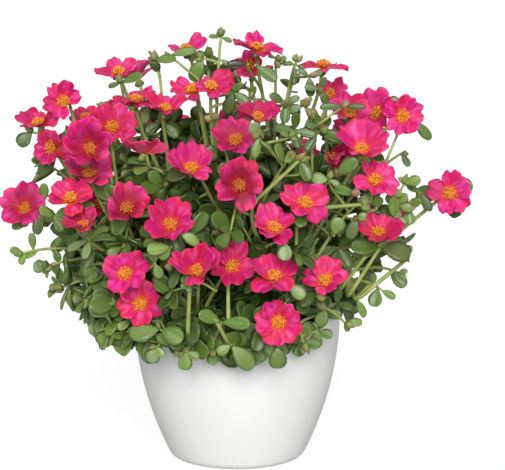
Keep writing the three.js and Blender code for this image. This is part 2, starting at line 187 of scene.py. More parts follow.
# Petals of the blooms that are seen best: each one's direction in degrees in its bloom's own plane (0 to
# the right, 90 up) and its length as a share of the bloom's radius.
PETALS = {
    "left_1": ((190, 1.0), (255, 0.9), (130, 1.0), (82, 1.05), (22, 0.9)),
    "left_2": ((165, 1.35), (120, 0.5), (18, 1.35), (330, 0.85), (235, 0.8)),
    "left_4": ((148, 1.1), (80, 1.2), (15, 0.9), (300, 0.95), (217, 1.1)),
    "left_front_1": ((105, 1.25), (162, 1.15), (45, 1.15), (345, 1.0), (228, 0.9)),
    "left_front_2": ((120, 1.15), (50, 1.2), (355, 1.15), (290, 0.8), (190, 1.0)),
    "left_front_4": ((140, 1.2), (82, 1.2), (5, 1.15), (290, 0.9), (188, 1.1)),
    "left_front_5": ((95, 1.2), (28, 1.15), (335, 0.85), (228, 1.3), (172, 0.8)),
    "left_top_1": ((112, 1.15), (30, 1.15), (178, 1.3), (255, 0.6), (320, 0.6)),
    "left_top_2": ((180, 1.1), (0, 1.1), (90, 0.6), (235, 0.9), (305, 0.9)),
    "left_top_3": ((140, 1.3), (85, 1.0), (5, 1.25), (205, 1.0), (290, 0.6)),
    "top_1": ((45, 1.3), (200, 0.9), (250, 0.1), (290, 0.1), (330, 0.1)),
    "top_2": ((158, 1.35), (85, 0.3), (15, 0.7), (208, 1.1), (290, 0.7)),
    "top_3": ((28, 1.35), (78, 0.75), (340, 1.0), (205, 0.8), (275, 0.6)),
    "top_right_1": ((140, 1.0), (95, 1.0), (5, 1.15), (192, 1.2), (300, 0.6)),
    "top_right_3": ((175, 1.15), (110, 0.8), (50, 0.8), (345, 1.2), (255, 0.6)),
    "top_right_4": ((118, 0.9), (62, 0.8), (14, 1.5), (262, 0.6), (172, 0.9)),
    "right_top_2": ((95, 1.2), (25, 1.0), (160, 1.0), (235, 1.15), (305, 1.0)),
    "right_top_3": ((78, 1.15), (10, 1.0), (300, 1.0), (235, 1.1), (152, 1.0)),
    "right_top_4": ((90, 1.15), (38, 1.1), (160, 1.15), (340, 1.2), (250, 0.6)),
    "right_1": ((98, 1.1), (38, 1.1), (335, 1.2), (278, 1.0), (190, 0.95)),
    "right_2": ((82, 1.1), (22, 1.1), (318, 1.05), (258, 0.95), (168, 1.05)),
    "right_3": ((165, 1.1), (108, 0.95), (55, 0.95), (340, 1.2), (262, 0.8)),
    "front_right_1": ((150, 1.15), (88, 0.85), (22, 1.2), (310, 1.1), (232, 0.85)),
    "front_right_2": ((108, 1.25), (48, 1.1), (180, 1.2), (235, 1.1), (300, 0.85)),
    "front_right_3": ((100, 1.15), (38, 1.1), (325, 0.9), (250, 0.45), (170, 1.0)),
    "front_right_4": ((45, 1.2), (105, 1.0), (168, 1.2), (230, 1.1), (303, 1.05)),
    "front_right_5": ((112, 1.05), (40, 1.1), (325, 1.0), (255, 0.95), (185, 1.0)),
    "front_top_1": ((122, 1.15), (72, 1.15), (5, 1.05), (290, 1.05), (205, 1.1)),
    "front_top_2": ((102, 1.2), (50, 1.05), (158, 1.15), (228, 0.8), (330, 0.8)),
    "front_top_3": ((150, 1.2), (92, 1.15), (30, 1.0), (315, 0.9), (235, 0.9)),
    "front_top_4": ((115, 1.05), (65, 0.95), (20, 1.2), (300, 0.85), (184, 1.5)),
    "front_left_1": ((135, 1.2), (64, 1.15), (0, 1.0), (215, 1.15), (285, 0.85)),
    "front_left_2": ((155, 1.15), (98, 1.1), (42, 1.1), (340, 0.95), (250, 1.1)),
    "front_left_3": ((125, 1.05), (62, 1.1), (352, 1.1), (275, 1.0), (200, 1.05)),
    "front_left_4": ((160, 1.2), (108, 1.1), (52, 1.15), (0, 1.2), (262, 0.45)),
    "front_left_5": ((68, 1.3), (122, 0.95), (188, 1.0), (268, 1.3), (342, 1.0)),
}

# Blooms whose stems show below them.
STEMS_SHOWN = ("front_left_4", "front_left_5", "front_right_2", "front_right_4", "front_top_2", "right_top_3")

# Sprigs and twigs with leaves of their own: the shoot, the tip, the number of buds, and each
# leaf's direction in degrees (0 to the right, 90 up), length in millimetres, width as a share of it,
# lightness (the leaf's own tone together with the light and shade painted on it), how maroon it is, and
# how far it sits behind the tip. Some twigs have a last place that they pass on their way.
TWIGS = [
    ("left", (-165, -30, 168), 1, [
        (170, 11, 0.6, 0.85), (-110, 10, 0.6, 0.8, 0, 1), (95, 14, 0.45, 0.7, 0, 8),
        (-150, 13, 0.55, 0.8, 0, 13), (60, 10, 0.6, 0.6, 0, 24), (-70, 11, 0.6, 0.5, 0, 24)]),
    ("left", (-150, -30, 201), 0, [(-103, 19, 0.5, 0.22, 0.5)]),
    ("left", (-160.5, -12, 191), 0, [(-155, 16, 0.5, 0.85)]),
    ("left", (-150.6, -8, 203.5), 0, [(88, 16, 0.5, 0.8)]),
    ("left", (-138, -30, 243.3), 0, [(-135, 20, 0.55, 0.2, 0.5)]),
    ("left", (-158.5, -8, 259), 1, [(-138, 15, 0.8, 0.25, 0.5)]),
    ("left_front", (-110.5, -83, 256.3), 0, [(-108, 14, 0.7, 1.0)]),
    ("right", (125, -44, 172), 2, [(20, 7, 0.6, 0.8, 0.6), (-60, 8, 0.5, 0.3, 1.0, 1)]),
    ("right", (109, -62, 178), 2, [(182, 23, 0.62, 0.42, 0.2), (-12, 24, 0.72, 0.6, 0.9)],
     (86, -60, 141)),
    ("right", (132, -45, 167), 0, [], (93, -52, 136)),
    ("right", (98, -66, 172), 0, [], (80, -58, 146)),
    ("right", (124, -38, 154), 0, [
        (10, 8, 0.6, 0.85), (-40, 9, 0.55, 0.7, 0, 1), (-50, 18, 0.6, 0.45, 0.5, 7)]),
    ("right", (111, -40, 141), 0, [
        (-35, 13, 0.5, 0.7), (-100, 15, 0.75, 0.55, 0, 3), (75, 9, 0.5, 0.6, 0, 8)]),
    ("right", (92, -50, 136), 0, [(-65, 16, 0.42, 0.65)]),
    ("front_right", (82, -84, 124), 1, [
        (5, 13, 0.58, 0.75), (-65, 8, 0.6, 0.7, 0, 1), (-110, 15, 0.75, 0.62, 0.1, 20)]),
    ("right", (107.5, -50, 206), 0, [(90, 10, 0.85, 0.8)]),
    ("right", (120, -45, 198), 1, [(93, 17, 0.5, 0.8), (-20, 11, 0.6, 0.5)]),
    ("right", (142, -15, 213), 0, [(-60, 17, 0.4, 0.3, 0.9), (160, 12, 0.6, 0.5, 0.2)]),
    ("right", (129, -30, 222), 4, [
        (15, 13, 0.7, 0.65), (130, 7, 0.6, 0.8), (70, 7, 0.6, 0.9)]),
    ("right", (131, -36, 205), 3, [
        (-80, 14, 0.6, 0.6), (20, 15, 0.55, 0.55, 0.3, 3), (200, 13, 0.6, 0.5, 0, 6)]),
    ("right_top", (90, -86, 205), 2, [(-110, 17, 0.6, 0.32, 0.3), (20, 8, 0.7, 0.7)]),
    ("front_right", (73, -94, 193), 0, [(75, 14, 0.92, 0.58)]),
    ("right_top", (90, -80, 222), 2, [(166, 18, 0.5, 0.68, 0.4)]),
    ("right_top", (74.5, -83, 237), 1, [(35, 20, 0.6, 0.5, 0.7)]),
    ("front_right", (69, -90, 234.5), 1, [(175, 13, 0.82, 0.92), (-30, 9, 0.6, 0.5)]),
    ("front_right", (47, -99, 250.5), 4, [(-68, 17, 0.6, 0.38, 0.3)], (12, -92, 216.5)),
    ("front_right", (93.3, -85, 214.8), 3, [(60, 7, 0.6, 0.6), (-20, 7, 0.6, 0.5)],
     (69, -86, 213)),
    ("right_top", (126, -26, 266), 0, [], (115, -34, 241)),
    ("right_top", (136.4, -15, 269.3), 0, [(-48, 20, 0.42, 0.42, 0.2)]),
    ("right_top", (129, 16, 239), 1, [(-60, 12, 0.5, 0.3, 0.2)]),
    ("top_right", (8.5, -14, 312.7), 0, [(184, 16, 0.5, 0.0, 1.0)]),
    ("top_right", (14.5, -14, 311.8), 0, [(-40, 20, 0.52, 0.45, 0.3)]),
    ("front_left", (-34, -128, 163), 4, [
        (205, 7, 0.8, 0.5), (-25, 7, 0.8, 0.45), (150, 8, 0.7, 0.5), (35, 8, 0.7, 0.5),
        (-100, 6, 0.9, 0.6)], (-36, -112, 125)),
    ("front_left", (-6, -108, 160), 0, [], (-6, -106, 132)),
    ("front_left", (-16, -116, 134), 0, [], (-6, -100, 112)),
    ("front_right", (38.5, -100, 157), 0, [(-40, 16, 0.72, 0.86)]),
    ("front_right", (36, -128, 194.5), 0, [(-90, 14, 0.82, 0.9)]),
    ("front_right", (31, -109, 111.5), 0, [(-90, 17, 0.82, 0.7, 0.8)]),
    ("front_left", (-57, -102, 123), 1, [(186, 23, 0.75, 0.62), (-25, 19, 0.75, 0.5)]),
    ("front_left", (-60, -99, 109), 2, [(-110, 13, 0.9, 0.98), (-60, 9, 0.8, 0.8)]),
    ("front_left", (-37, -101, 105.5), 0, [(-100, 14, 0.8, 0.72), (-30, 10, 0.8, 0.6)]),
    ("front_left", (-4, -107, 112), 0, [(-45, 24, 0.65, 0.6, 0.1), (-150, 12, 0.8, 0.7)]),
    ("front_left", (-11, -114, 131), 0, [(-5, 22, 0.46, 0.5), (160, 19, 0.52, 0.5)]),
    ("front_left", (-48, -120, 189), 0, [(190, 18, 0.6, 0.8), (-130, 12, 0.7, 0.7)]),
    ("front_left", (-42, -124, 202), 0, [(-35, 18, 0.5, 0.8)]),
    ("front_top", (16.5, -112, 269.7), 3, [(118, 12, 0.8, 0.92), (-100, 16, 0.42, 0.85)]),
    ("right_top", (80.7, -52, 284.7), 2, [(-3, 17, 0.33, 0.1, 0.3), (184, 18, 0.38, 0.15, 0.3)],
     (64, -50, 272)),
    ("front_top", (40, -100, 268), 3, [(30, 9, 0.6, 0.7), (150, 8, 0.6, 0.6)]),
    ("left_front", (-119, -82, 214), 0, [(-15, 13, 0.7, 0.5), (160, 9, 0.6, 0.6)]),
    ("front_left", (-60, -116, 176), 0, [(95, 12, 0.8, 0.85), (-70, 12, 0.7, 0.6)]),
    ("left_top", (-90, -5, 297), 1, [(15, 19, 0.42, 0.55, 0.2), (200, 10, 0.5, 0.25, 0.3)],
     (-88, 4, 284)),
    ("left_top", (-64, -4, 314), 2, [(10, 17, 0.5, 0.5)]),
    ("top", (-52, -2, 318), 1, [(14, 21, 0.36, 0.62)]),
    ("top", (-26, 0, 316), 2, [(-115, 20, 0.62, 0.55), (150, 6, 0.6, 0.3, 0.8)]),
    ("top", (-12, 0, 333), 4, [
        (180, 10, 0.4, 0.5, 0, 1), (-25, 9, 0.5, 0.5, 0, 1), (60, 6, 0.6, 0.75),
        (-30, 11, 0.4, 0.45, 0, 18)]),
    ("top_right", (31, 0, 315), 4, [
        (0, 8, 0.5, 0.6), (170, 7, 0.5, 0.5, 0, 1), (-15, 10, 0.5, 0.45, 0, 5)]),
    ("top_right", (46, -6, 314), 3, [
        (170, 8, 0.5, 0.4, 0, 3), (-30, 8, 0.5, 0.35, 0.2, 3), (-95, 15, 0.4, 0.2, 0.5, 4)]),
    ("top_right", (37, -35, 284.8), 2, [
        (150, 14, 0.5, 0.25, 0.1), (-92, 15, 0.55, 0.4), (25, 12, 0.5, 0.3), (-150, 13, 0.5, 0.2, 0, 4)]),
    ("top_right", (51, -35, 283.2), 4, [
        (-48, 20, 0.42, 0.5, 0.1), (200, 13, 0.6, 0.3), (45, 9, 0.5, 0.7), (-110, 14, 0.5, 0.2, 0.2, 5)]),
    ("top_right", (44, -38, 264.5), 0, [
        (178, 16, 0.5, 0.45), (-12, 17, 0.5, 0.3, 0.1), (80, 14, 0.5, 0.25), (-70, 14, 0.5, 0.2, 0, 3)]),
    ("right_top", (64, -40, 264.5), 3, [
        (-25, 19, 0.6, 0.4), (55, 13, 0.6, 0.2, 0.5), (150, 13, 0.5, 0.3, 0.2), (-120, 16, 0.5, 0.25, 0, 4)]),
    ("top", (-3, -35, 294), 1, [
        (-105, 18, 0.55, 0.25, 0.1), (-40, 17, 0.5, 0.35), (165, 12, 0.5, 0.25, 0.2),
        (40, 11, 0.5, 0.4, 0, 2)]),
    ("top", (11, -30, 288), 1, [
        (-28, 18, 0.5, 0.3), (-150, 14, 0.5, 0.2), (60, 12, 0.5, 0.4, 0, 2)]),
    ("left_top", (-70, -20, 281.5), 1, [
        (178, 15, 0.6, 0.15, 0.4), (5, 14, 0.6, 0.3), (-92, 14, 0.55, 0.95)]),
    ("left_top", (-58, -22, 269.5), 2, [
        (-45, 18, 0.5, 0.35), (40, 15, 0.5, 0.3), (-140, 15, 0.5, 0.25)]),
    ("left_front", (-139, -58, 201), 0, [
        (150, 13, 0.6, 0.8), (20, 14, 0.6, 0.75), (-60, 13, 0.6, 0.7)]),
    ("right", (77, -50, 176), 0, [
        (-60, 18, 0.6, 0.25), (200, 16, 0.6, 0.3), (30, 16, 0.6, 0.25, 0.2), (-120, 16, 0.6, 0.2, 0, 3)]),
    ("right", (77, -34, 129), 0, [
        (-155, 14, 0.6, 0.3), (-15, 13, 0.6, 0.45), (80, 12, 0.6, 0.5)]),
    ("front_right", (62, -64, 114), 0, [
        (-100, 14, 0.75, 0.5), (-25, 12, 0.7, 0.55), (160, 13, 0.7, 0.4), (65, 12, 0.6, 0.5)]),
    ("front_right", (51, -77, 109), 1, [
        (-112, 13, 0.8, 0.55), (-20, 13, 0.7, 0.4), (80, 13, 0.7, 0.6)]),
    ("front_right", (66, -46, 125), 0, [
        (-12, 15, 0.65, 0.35), (190, 14, 0.6, 0.4), (65, 14, 0.6, 0.3)]),
    ("right", (123.5, -40, 207), 2, [
        (55, 11, 0.7, 0.75), (-15, 12, 0.7, 0.6), (145, 12, 0.65, 0.65), (-95, 12, 0.7, 0.7, 0, 1)]),
    ("top_right", (63.5, -25, 294.5), 1, [
        (-62, 14, 0.5, 0.25, 0.4), (62, 11, 0.5, 0.3, 0.2), (172, 12, 0.5, 0.3)]),
    ("top_right", (55.5, -22, 304.5), 2, [
        (-85, 16, 0.5, 0.15, 0.6), (15, 11, 0.45, 0.3), (150, 10, 0.5, 0.3)]),
    ("right", (117, -44, 214.5), 1, [
        (20, 10, 0.7, 0.8), (100, 9, 0.7, 0.7), (-65, 11, 0.7, 0.55, 0.2, 1)]),
]

# The pot and the mix in it, in metres.
POT_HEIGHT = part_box("pot")[1].z
RIM_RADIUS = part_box("pot")[1].x
FOOT_RADIUS = 0.0515
BELLY = 2.05  # 1 is a straight wall, and more widens it lower down
WALL = 0.0026
FOOT_ROUND = 0.010
FOOT_TURN = 63  # degrees of the foot's rounding
INSIDE_FOOT = 0.0135
FLOOR_CORNER = ((0.008, 0.0055), (0.014, 0.0035))  # in from the wall, and height
POT_FLOOR = 0.0035
POT_SIDES = 128
SHARP_EDGE = 40  # degrees
DRAINS = 4
DRAIN_RADIUS = 0.004
DRAIN_CIRCLE = 0.026
SOIL_UNDERSIDE = 0.0042
SOIL_FOOT = 0.014
SOIL_TOP = 0.106
SOIL_CROWN = 0.005
SOIL_CLEAR = 0.0004  # between the mix and the pot's wall
SOIL_WAVE = 0.0006
SOIL_SIDES = 72

# How the stems were drawn in the frame: metres, and shares of a stem's length.
CALYX = 0.007  # from a bloom's middle down to the point of its calyx
STEM_GAP = 0.0018
STEM_INTO_CALYX = 0.0015
NECK = 0.002  # of a shoot, above the mix
MAIN_SHARE = 0.5
MAIN_LIFT = 0.014
ROOT_DEPTH = 0.016
FIRST_FORK = 0.45
LAST_FORK = 0.98
FORK_OPEN = 0.35
# Millimetres that a fork may bend back and aside before its tip.
BENDS = [(16, 0), (30, 0), (24, 16), (24, -16), (44, 0), (40, 24), (40, -24), (66, 0), (80, 20)]

# Radius of a stem at its foot and at its tip.
THICKNESS = {
    "main": (0.0025, 0.0019),
    "fork": (0.0017, 0.0013),
    "sprig": (0.0016, 0.001),
    "added": (0.0015, 0.0012),
    "twig": (0.0013, 0.0009),
    "side": (0.00115, 0.0008),
}
STOUT_TWIG, SLIM_TWIG = 0.0020, 0.0013  # of twigs that pass a place on their way
STOUT = 0.0015  # twigs above this stay in sight
HIGH_UP = 0.26  # height of the top blooms' stems
SPRIG_BUDS = 4
TWIG_STARTS = 25  # places tried for the start of a twig that keeps clear of the blooms
FORK_LEAVES, SPRIG_BENDS = 0.3, 0.35  # shares of a stem's length
YOUNG_RISES, YOUNG_LEAVES = 0.4, 0.35  # how a young stem leaves its parent
SIDE_TRIES = 40000
SIDE_LOWEST, SIDE_RANGE = 0.100, 0.205  # heights of the side shoots' tips
SIDE_SHORTEST, SIDE_LONGEST = 0.010, 0.075
SIDE_LOW_POWER = 1.25  # puts more of the tips low down
SIDE_DEPTH, SIDE_DEPTH_POWER = 0.40, 1.8  # share of the way in to the axis
BARE_INSIDE = 0.6
HIGHER_FREE, HIGHER_COSTS = 0.03, 0.8  # a parent that lies higher than the tip counts as further off
IN_POT, NEAR_RIM, IN_POT_COSTS = 0.004, 0.02, 3.0  # and so does one in the pot, for a tip near the rim
OVER_RIM = (0.4, 0.1)  # up, and inwards
SIDE_BENDS = (0.5, 0.35, 0.35)  # out and up, and how far of the length
SIDE_BUD_COUNT = 3
TWIG_HIGHER_FREE, TWIG_HIGHER_COSTS = 0.004, 1.5
TWIG_INWARD, TWIG_INWARD_COSTS = 0.012, 3.0
TWIG_RISES, TWIG_AHEAD, TWIG_TAPER = 0.8, 0.3, 0.7
INNER_REACH, CORE_REACH = (0.35, 0.72), (0.70, 0.97)  # shares of the way in to the axis
INNER_APART = 0.015
SIDE_SEEDS = (41, 42, 43)  # outside, inside and close to the axis

# What leaves and stems keep clear of.
LOWEST_LEAF = 0.03
LEAF_ROOM = 0.004  # between the middles of two leaves
POT_ROOM = {"tip": 0.006, "stem": 0.0025, "leaf": 0.002}
# Shares of a bloom's spread: round its cup, and as it shows from the front.
BLOOM_ROOM = {"tip": (1.1, 0.55), "stem": (1.0, 0.35), "twig": (1.0, 0.3), "leaf": (1.1, 0.65)}
FAR_FROM_BLOOM = 0.012  # square of the distance past which a bloom is left out
CUP = (-0.0035, 0.018)  # below and above a bloom's seat
FACE_CLEAR, FACE_SHARE = 0.05, 0.6  # above a bloom's seat, and across as a share of its spread
SEEN = 0.1  # how far a bloom faces the front, at least, to be kept in sight
STEM_SHOWN_ROOM, TWIG_SHOWN_ROOM, SHOWN_MARGIN = 0.0035, 0.003, 0.003
LEAF_SHOWN_AT, LEAF_SHOWN_ROOM = 0.55, 0.4  # shares of a leaf's length
BEFORE_SHOWN = (-0.004, 0.07)  # depth in front of a thing that is kept in sight

# Each of these is a pair of rows for np.interp: places, and the values there. The places are heights,
# unless a comment says otherwise.
FOLIAGE_OUTLINE = (
    (0.085, 0.095, 0.110, 0.127, 0.146, 0.166, 0.190, 0.225, 0.255, 0.285, 0.310),
    (0.090, 0.098, 0.108, 0.119, 0.126, 0.131, 0.131, 0.118, 0.092, 0.062, 0.034),
)
RIM_BARED = ((0.120, 0.136), (1, 0))  # where the leaves draw in over the rim on the right
RIM_DRAWN_IN = 0.22
RIM_SHOWN = ((0.046, 0.056, 0.075), (0.0935, 0.102, 0.120))  # x, and where the front leaves stop
SIDE_KEPT = ((0.20, 0.24, 0.27), (1, 0.3, 0.03))  # share of the side shoots
BARE_BY_TURN = ((36, 48, 100, 112, 140, 160), (0, 1, 1, 0.6, 0.5, 0))  # degrees to the right
BARE_BY_HEIGHT = ((0.105, 0.115, 0.20, 0.23), (0.4, 1, 1, 0.2))
SIDE_APART = ((0.16, 0.22), (0.0125, 0.0145))
SIDE_BUDS = ((0.15, 0.22), (0.1, 0.4))
LOW_LEAVES = ((0.12, 0.19), (1, 0))  # broader, longer and turned outwards
TOP_LEAVES = ((0.235, 0.275), (0, 1))  # shorter and fewer
FEW_ON_FORKS = ((0.20, 0.25), (1, 0.2))
FEW_ON_SPRIGS = ((0.20, 0.25), (1, 0.3))
# Painted light and shade on the leaves: lighter or darker by height with most painted shade in the middle
# band, painted light on the left, and painted shade in the middle and deep inside the bush.
LIGHT_BY_HEIGHT = ((0.10, 0.15, 0.17, 0.24, 0.28), (-0.18, -0.20, -0.22, -0.09, 0.03))
LIGHT_LEFT, LEFT_HEIGHTS = ((-0.10, -0.06), (0.36, 0)), ((0.20, 0.24), (1, 0))  # x, and height
SHADE_MIDDLE, MIDDLE_HEIGHTS = ((0.04, 0.08), (-0.22, 0)), ((0.12, 0.15, 0.22, 0.26), (0, 1, 1, 0))
SHADE_INSIDE = ((0.6, 0.95), (-0.4, 0))  # share of the bush's radius
SELDOM_WARM = ((0.03, 0.07), (3, 1.6))  # x, and a power that makes warm leaves seldom

# Blooms, buds, leaves and crumbs.
STEEPEST_BLOOM = 86  # degrees that a bloom tilts up at most
PETAL_SEAT = 0.0035  # from a bloom's middle down to where its petals start
PETAL_THICKNESS = 0.00042
PETAL_COUNT = 5
PETAL_STRAY = 0.055  # of a petal's turn, as a share of the way to the next
PETAL_SIZES = (0.90, 1.08)
PETAL_SIZE_FROM, PETAL_SIZE_BY = 0.35, 0.62  # a size from the length in PETALS
PETAL_RISE, RIM_RISE = 9, 13  # degrees that a petal's slope strays
BRUSH_ROUGH = (0.85, 1.12)
ACROSS, ALONG = 16, 8  # squares of a petal's sheet
CALYX_SIZE = (0.0075, 0.0085)
CALYX_DROP = 0.0062
TUFT_SHARE = 0.081  # a tuft's radius as a share of its bloom's
TUFT_LEAN = 0.72
GOLDEN_ANGLE = 2.39996
FILAMENT = (0.0046, 0.0014, 0.00026, 0.00066)  # a stamen's stalk and anther: lengths, then radii
BRUSH_SHARE = 0.200
BRUSH_HEIGHT = 0.0040
BRUSH_STATIONS = ((0.35, 0.0), (0.75, 0.35), (1.0, 0.75), (0.86, 1.0), (0.5, 0.98))  # radius, height
BUD_LENGTH = (0.006, 0.010)
CRUMB_ROUGH = (0.7, 1.2)
BUD_STATIONS = ((0.05, 0.12), (0.2, 0.34), (0.42, 0.45), (0.65, 0.34), (0.84, 0.17), (0.95, 0.06))
# How leaves of a whorl vary: radians round the stem and in their lean, then the way that they face,
# their tint, their size and their width.
SWAY, LEAN_SWAY, FACE_SWAY, TINT_SWAY = 0.45, 0.28, 0.18, 0.26
LEAF_SIZES, LEAF_WIDTHS = (0.74, 1.18), (0.85, 1.12)
LOW_LONGER, LOW_BROADER, LOW_TURNED, LOW_GREENER = 0.12, 0.18, 0.6, 0.8  # for the low leaves
# Shares of a leaf's length where it is held against the pot, the blooms and what stays in sight.
AT_POT, AT_BLOOMS, AT_SIGHT, LEAF_MIDDLE = (0.5, 1.0), (0.45, 0.72, 0.97), (0.35, 0.7, 1.0), 0.6
LEAF_STATIONS = (0.13, 0.33, 0.53, 0.73, 0.90, 0.98)
LEAF_RING = ((-1, 0, 0.5), (-0.55, 0.62, 0), (0, 0.66, 0), (0.55, 0.62, 0), (1, 0, 0.5), (0, -1, 1))
LEAF_FOOT = 0.17  # narrowest, as a share of the width
LEAF_THICKNESS = 0.05
# Bend and fold of each kind of leaf, then its widest place and its twist if it has them.
LEAF_KINDS = ((0.0, 0.10), (0.12, 0.16), (-0.14, 0.06), (-0.05, 0.2, 0.56, 0.3), (0.05, 0.12, 0.66, -0.3))

# The stage: metres and degrees.
FRAME_WIDTH = 505  # pixels
PIXEL = 0.000784  # metres at the plant
CAMERA_TARGET = (0.0121, 0.0, 0.1767)
CAMERA_DISTANCE = 2.0
CAMERA_TILT = 10
FLOOR_HALF = 20.0
FLOOR_GLOW = (0.20, 0.80)  # on the plant, and as the camera sees it
AMBIENT = (0.29, 0.29, 0.30)
BACKDROP = (1.0, 1.0, 1.0)
# Name, turn, tilt, power and spread.
LAMPS = (("key", 3, 25, 3.06, 34), ("fill", -50, 30, 0.25, 90), ("back", 170, 40, 0.7, 90))


# ---- settings


COLOUR = {"subtype": "COLOR", "size": 3, "min": 0, "max": 1}


class PlantSettings(bpy.types.PropertyGroup):
    """Sizes and colours that a user would change."""

    petal_ruffle: FloatProperty(name="Petal ruffle", description="Height of the waves in a petal's rim",
                                default=0.06, min=0, max=0.2, subtype="FACTOR")
    stamen_count: IntProperty(name="Stamens", description="Stamens in each bloom", default=92, min=5)
    leaf_length: FloatProperty(name="Leaf length", description="Length of a full-grown leaf",
                               default=0.0205, unit="LENGTH")
    leaf_width: FloatProperty(name="Leaf width", description="Width as a share of a leaf's length",
                              default=0.62, subtype="FACTOR")
    side_shoots: IntProperty(name="Side shoots", description="Small leafy shoots on the outside of the bush",
                             default=250, min=0)
    inner_shoots: IntProperty(name="Inner shoots", description="Small leafy shoots inside the bush",
                              default=120, min=0)
    core_shoots: IntProperty(name="Core shoots", description="Small leafy shoots close to the plant's middle",
                             default=45, min=0)
    petal_colour: FloatVectorProperty(name="Petals", description="Colour of the petals",
                                      default=(0.73, 0.010, 0.225), **COLOUR)
    coral_colour: FloatVectorProperty(name="Petal blush", description="Warmer colour that petals fade to",
                                      default=(0.86, 0.024, 0.060), **COLOUR)
    throat_colour: FloatVectorProperty(name="Throat", description="Colour near the stamens",
                                       default=(0.82, 0.17, 0.03), **COLOUR)
    anther_colour: FloatVectorProperty(name="Anthers", description="Colour of the anthers",
                                       default=(0.90, 0.30, 0.03), **COLOUR)
    leaf_colour: FloatVectorProperty(name="Leaves", description="Colour of a leaf's face",
                                     default=(0.140, 0.250, 0.038), **COLOUR)
    stem_colour: FloatVectorProperty(name="Stems", description="Colour of the stems",
                                     default=(0.33, 0.40, 0.095), **COLOUR)
    pot_colour: FloatVectorProperty(name="Pot", description="Colour of the pot",
                                    default=(0.84, 0.84, 0.83), **COLOUR)


# ---- helpers


def settings():
    """The plant's settings in the scene."""
    return bpy.context.scene.portulaca


def metres(place):
    """A place of the plan, which is in millimetres."""
    return np.array(place) / 1000


def unit(v):
    v = np.asarray(v, float)
    return v / max(norm(v), 1e-12)


def axes_for(look):
    """Side, up and look as the columns of a turn, with up as near to upright as it can be."""
    look = unit(look)
    side = np.cross(UP, look)
    if norm(side) < 0.05:
        side = np.cross([0.0, 1.0, 0.0], look)
    side = unit(side)
    return np.stack([side, np.cross(look, side), look], axis=1)


def turn_of(columns):
    return Matrix(columns.tolist())


def bezier(a, b, c, d, count):
    """A curve from a to d that b and c pull, as count points."""
    t = np.linspace(0, 1, count)[:, None]
    return a * (1 - t) ** 3 + 3 * b * t * (1 - t) ** 2 + 3 * c * t * t * (1 - t) + d * t ** 3


def distances(path):
    """How far along a path each of its points lies."""
    return np.concatenate([[0], np.cumsum(norm(np.diff(path, axis=0), axis=1))])


def at_distance(path, along):
    """The place on a path that lies that far along it, or the places."""
    return np.stack([np.interp(along, distances(path), path[:, k]) for k in range(3)], axis=-1)


def even(path, count):
    """The path again, as count points an even distance apart."""
    return at_distance(path, np.linspace(0, distances(path)[-1], count))


def turned_about(v, axis, angle):
    """v turned about a unit axis."""
    c, s = math.cos(angle), math.sin(angle)
    return v * c + np.cross(axis, v) * s + axis * (axis @ v) * (1 - c)


def facing(turn, tilt):
    """The direction that is turned from the front to the right and tilted up, in degrees."""
    a, e = math.radians(turn), math.radians(tilt)
    return np.array([math.sin(a) * math.cos(e), -math.cos(a) * math.cos(e), math.sin(e)])


TOWARDS_FRONT = facing(0, CAMERA_TILT)


def around(r, turn, z):
    """The place at that distance from the pot's axis, turn in degrees from the front, and height."""
    a = math.radians(turn)
    return np.array([r * math.sin(a), -r * math.cos(a), z])


def circle(count):
    """The turns of count places round a circle, in radians."""
    return np.linspace(0, 2 * math.pi, count + 1)[:-1]


def ring(radius, z, count):
    return np.array([(radius * math.cos(a), radius * math.sin(a), z) for a in circle(count)])


def mesh_object(name, vertices, faces, uv=None, values=None, smooth=True):
    """A new mesh object, with a UV pair per vertex and named numbers per vertex."""
    mesh = bpy.data.meshes.new(name)
    mesh.from_pydata([tuple(v) for v in vertices], [], [tuple(int(i) for i in f) for f in faces])
    if uv is not None:
        layer = mesh.uv_layers.new(name="pattern")
        corners = np.array([loop.vertex_index for loop in mesh.loops])
        layer.uv.foreach_set("vector", np.asarray(uv, np.float32)[corners].ravel())
    for key, numbers in (values or {}).items():
        numbers = np.asarray(numbers)
        kind = "FLOAT_VECTOR" if numbers.ndim == 2 else "INT" if numbers.dtype.kind == "i" else "FLOAT"
        made = mesh.attributes.new(key, kind, "POINT")
        made.data.foreach_set("vector" if numbers.ndim == 2 else "value", numbers.ravel())
    if smooth and len(faces):
        mesh.shade_smooth()
    mesh.update()
    return linked(name, mesh)


def linked(name, data):
    """A new object of the scene."""
    made = bpy.data.objects.new(name, data)
    bpy.context.scene.collection.objects.link(made)
    return made


def evaluated_mesh(made):
    """A plain mesh of the object with its modifiers."""
    depsgraph = bpy.context.evaluated_depsgraph_get()
    return bpy.data.meshes.new_from_object(made.evaluated_get(depsgraph), depsgraph=depsgraph)


def closed_tube(first, rings, last):
    """Vertices and outward faces of a closed shape: rings of equal length, with a fan to one point at
    each end."""
    n = len(rings[0])
    vertices = np.concatenate([[first], np.concatenate(rings), [last]])
    faces = [(0, 1 + (j + 1) % n, 1 + j) for j in range(n)]
    for i in range(len(rings) - 1):
        a, b = 1 + i * n, 1 + (i + 1) * n
        faces += [(a + j, a + (j + 1) % n, b + (j + 1) % n, b + j) for j in range(n)]
    end, a = len(vertices) - 1, 1 + (len(rings) - 1) * n
    faces += [(end, a + j, a + (j + 1) % n) for j in range(n)]
    return vertices, faces


def piece(made, slot, *stands_for):
    """Rides on the plant's body and stands for the frame's nodes. The finish slot is not used."""
    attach(made, BODY)
    if stands_for:
        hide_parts(*stands_for)


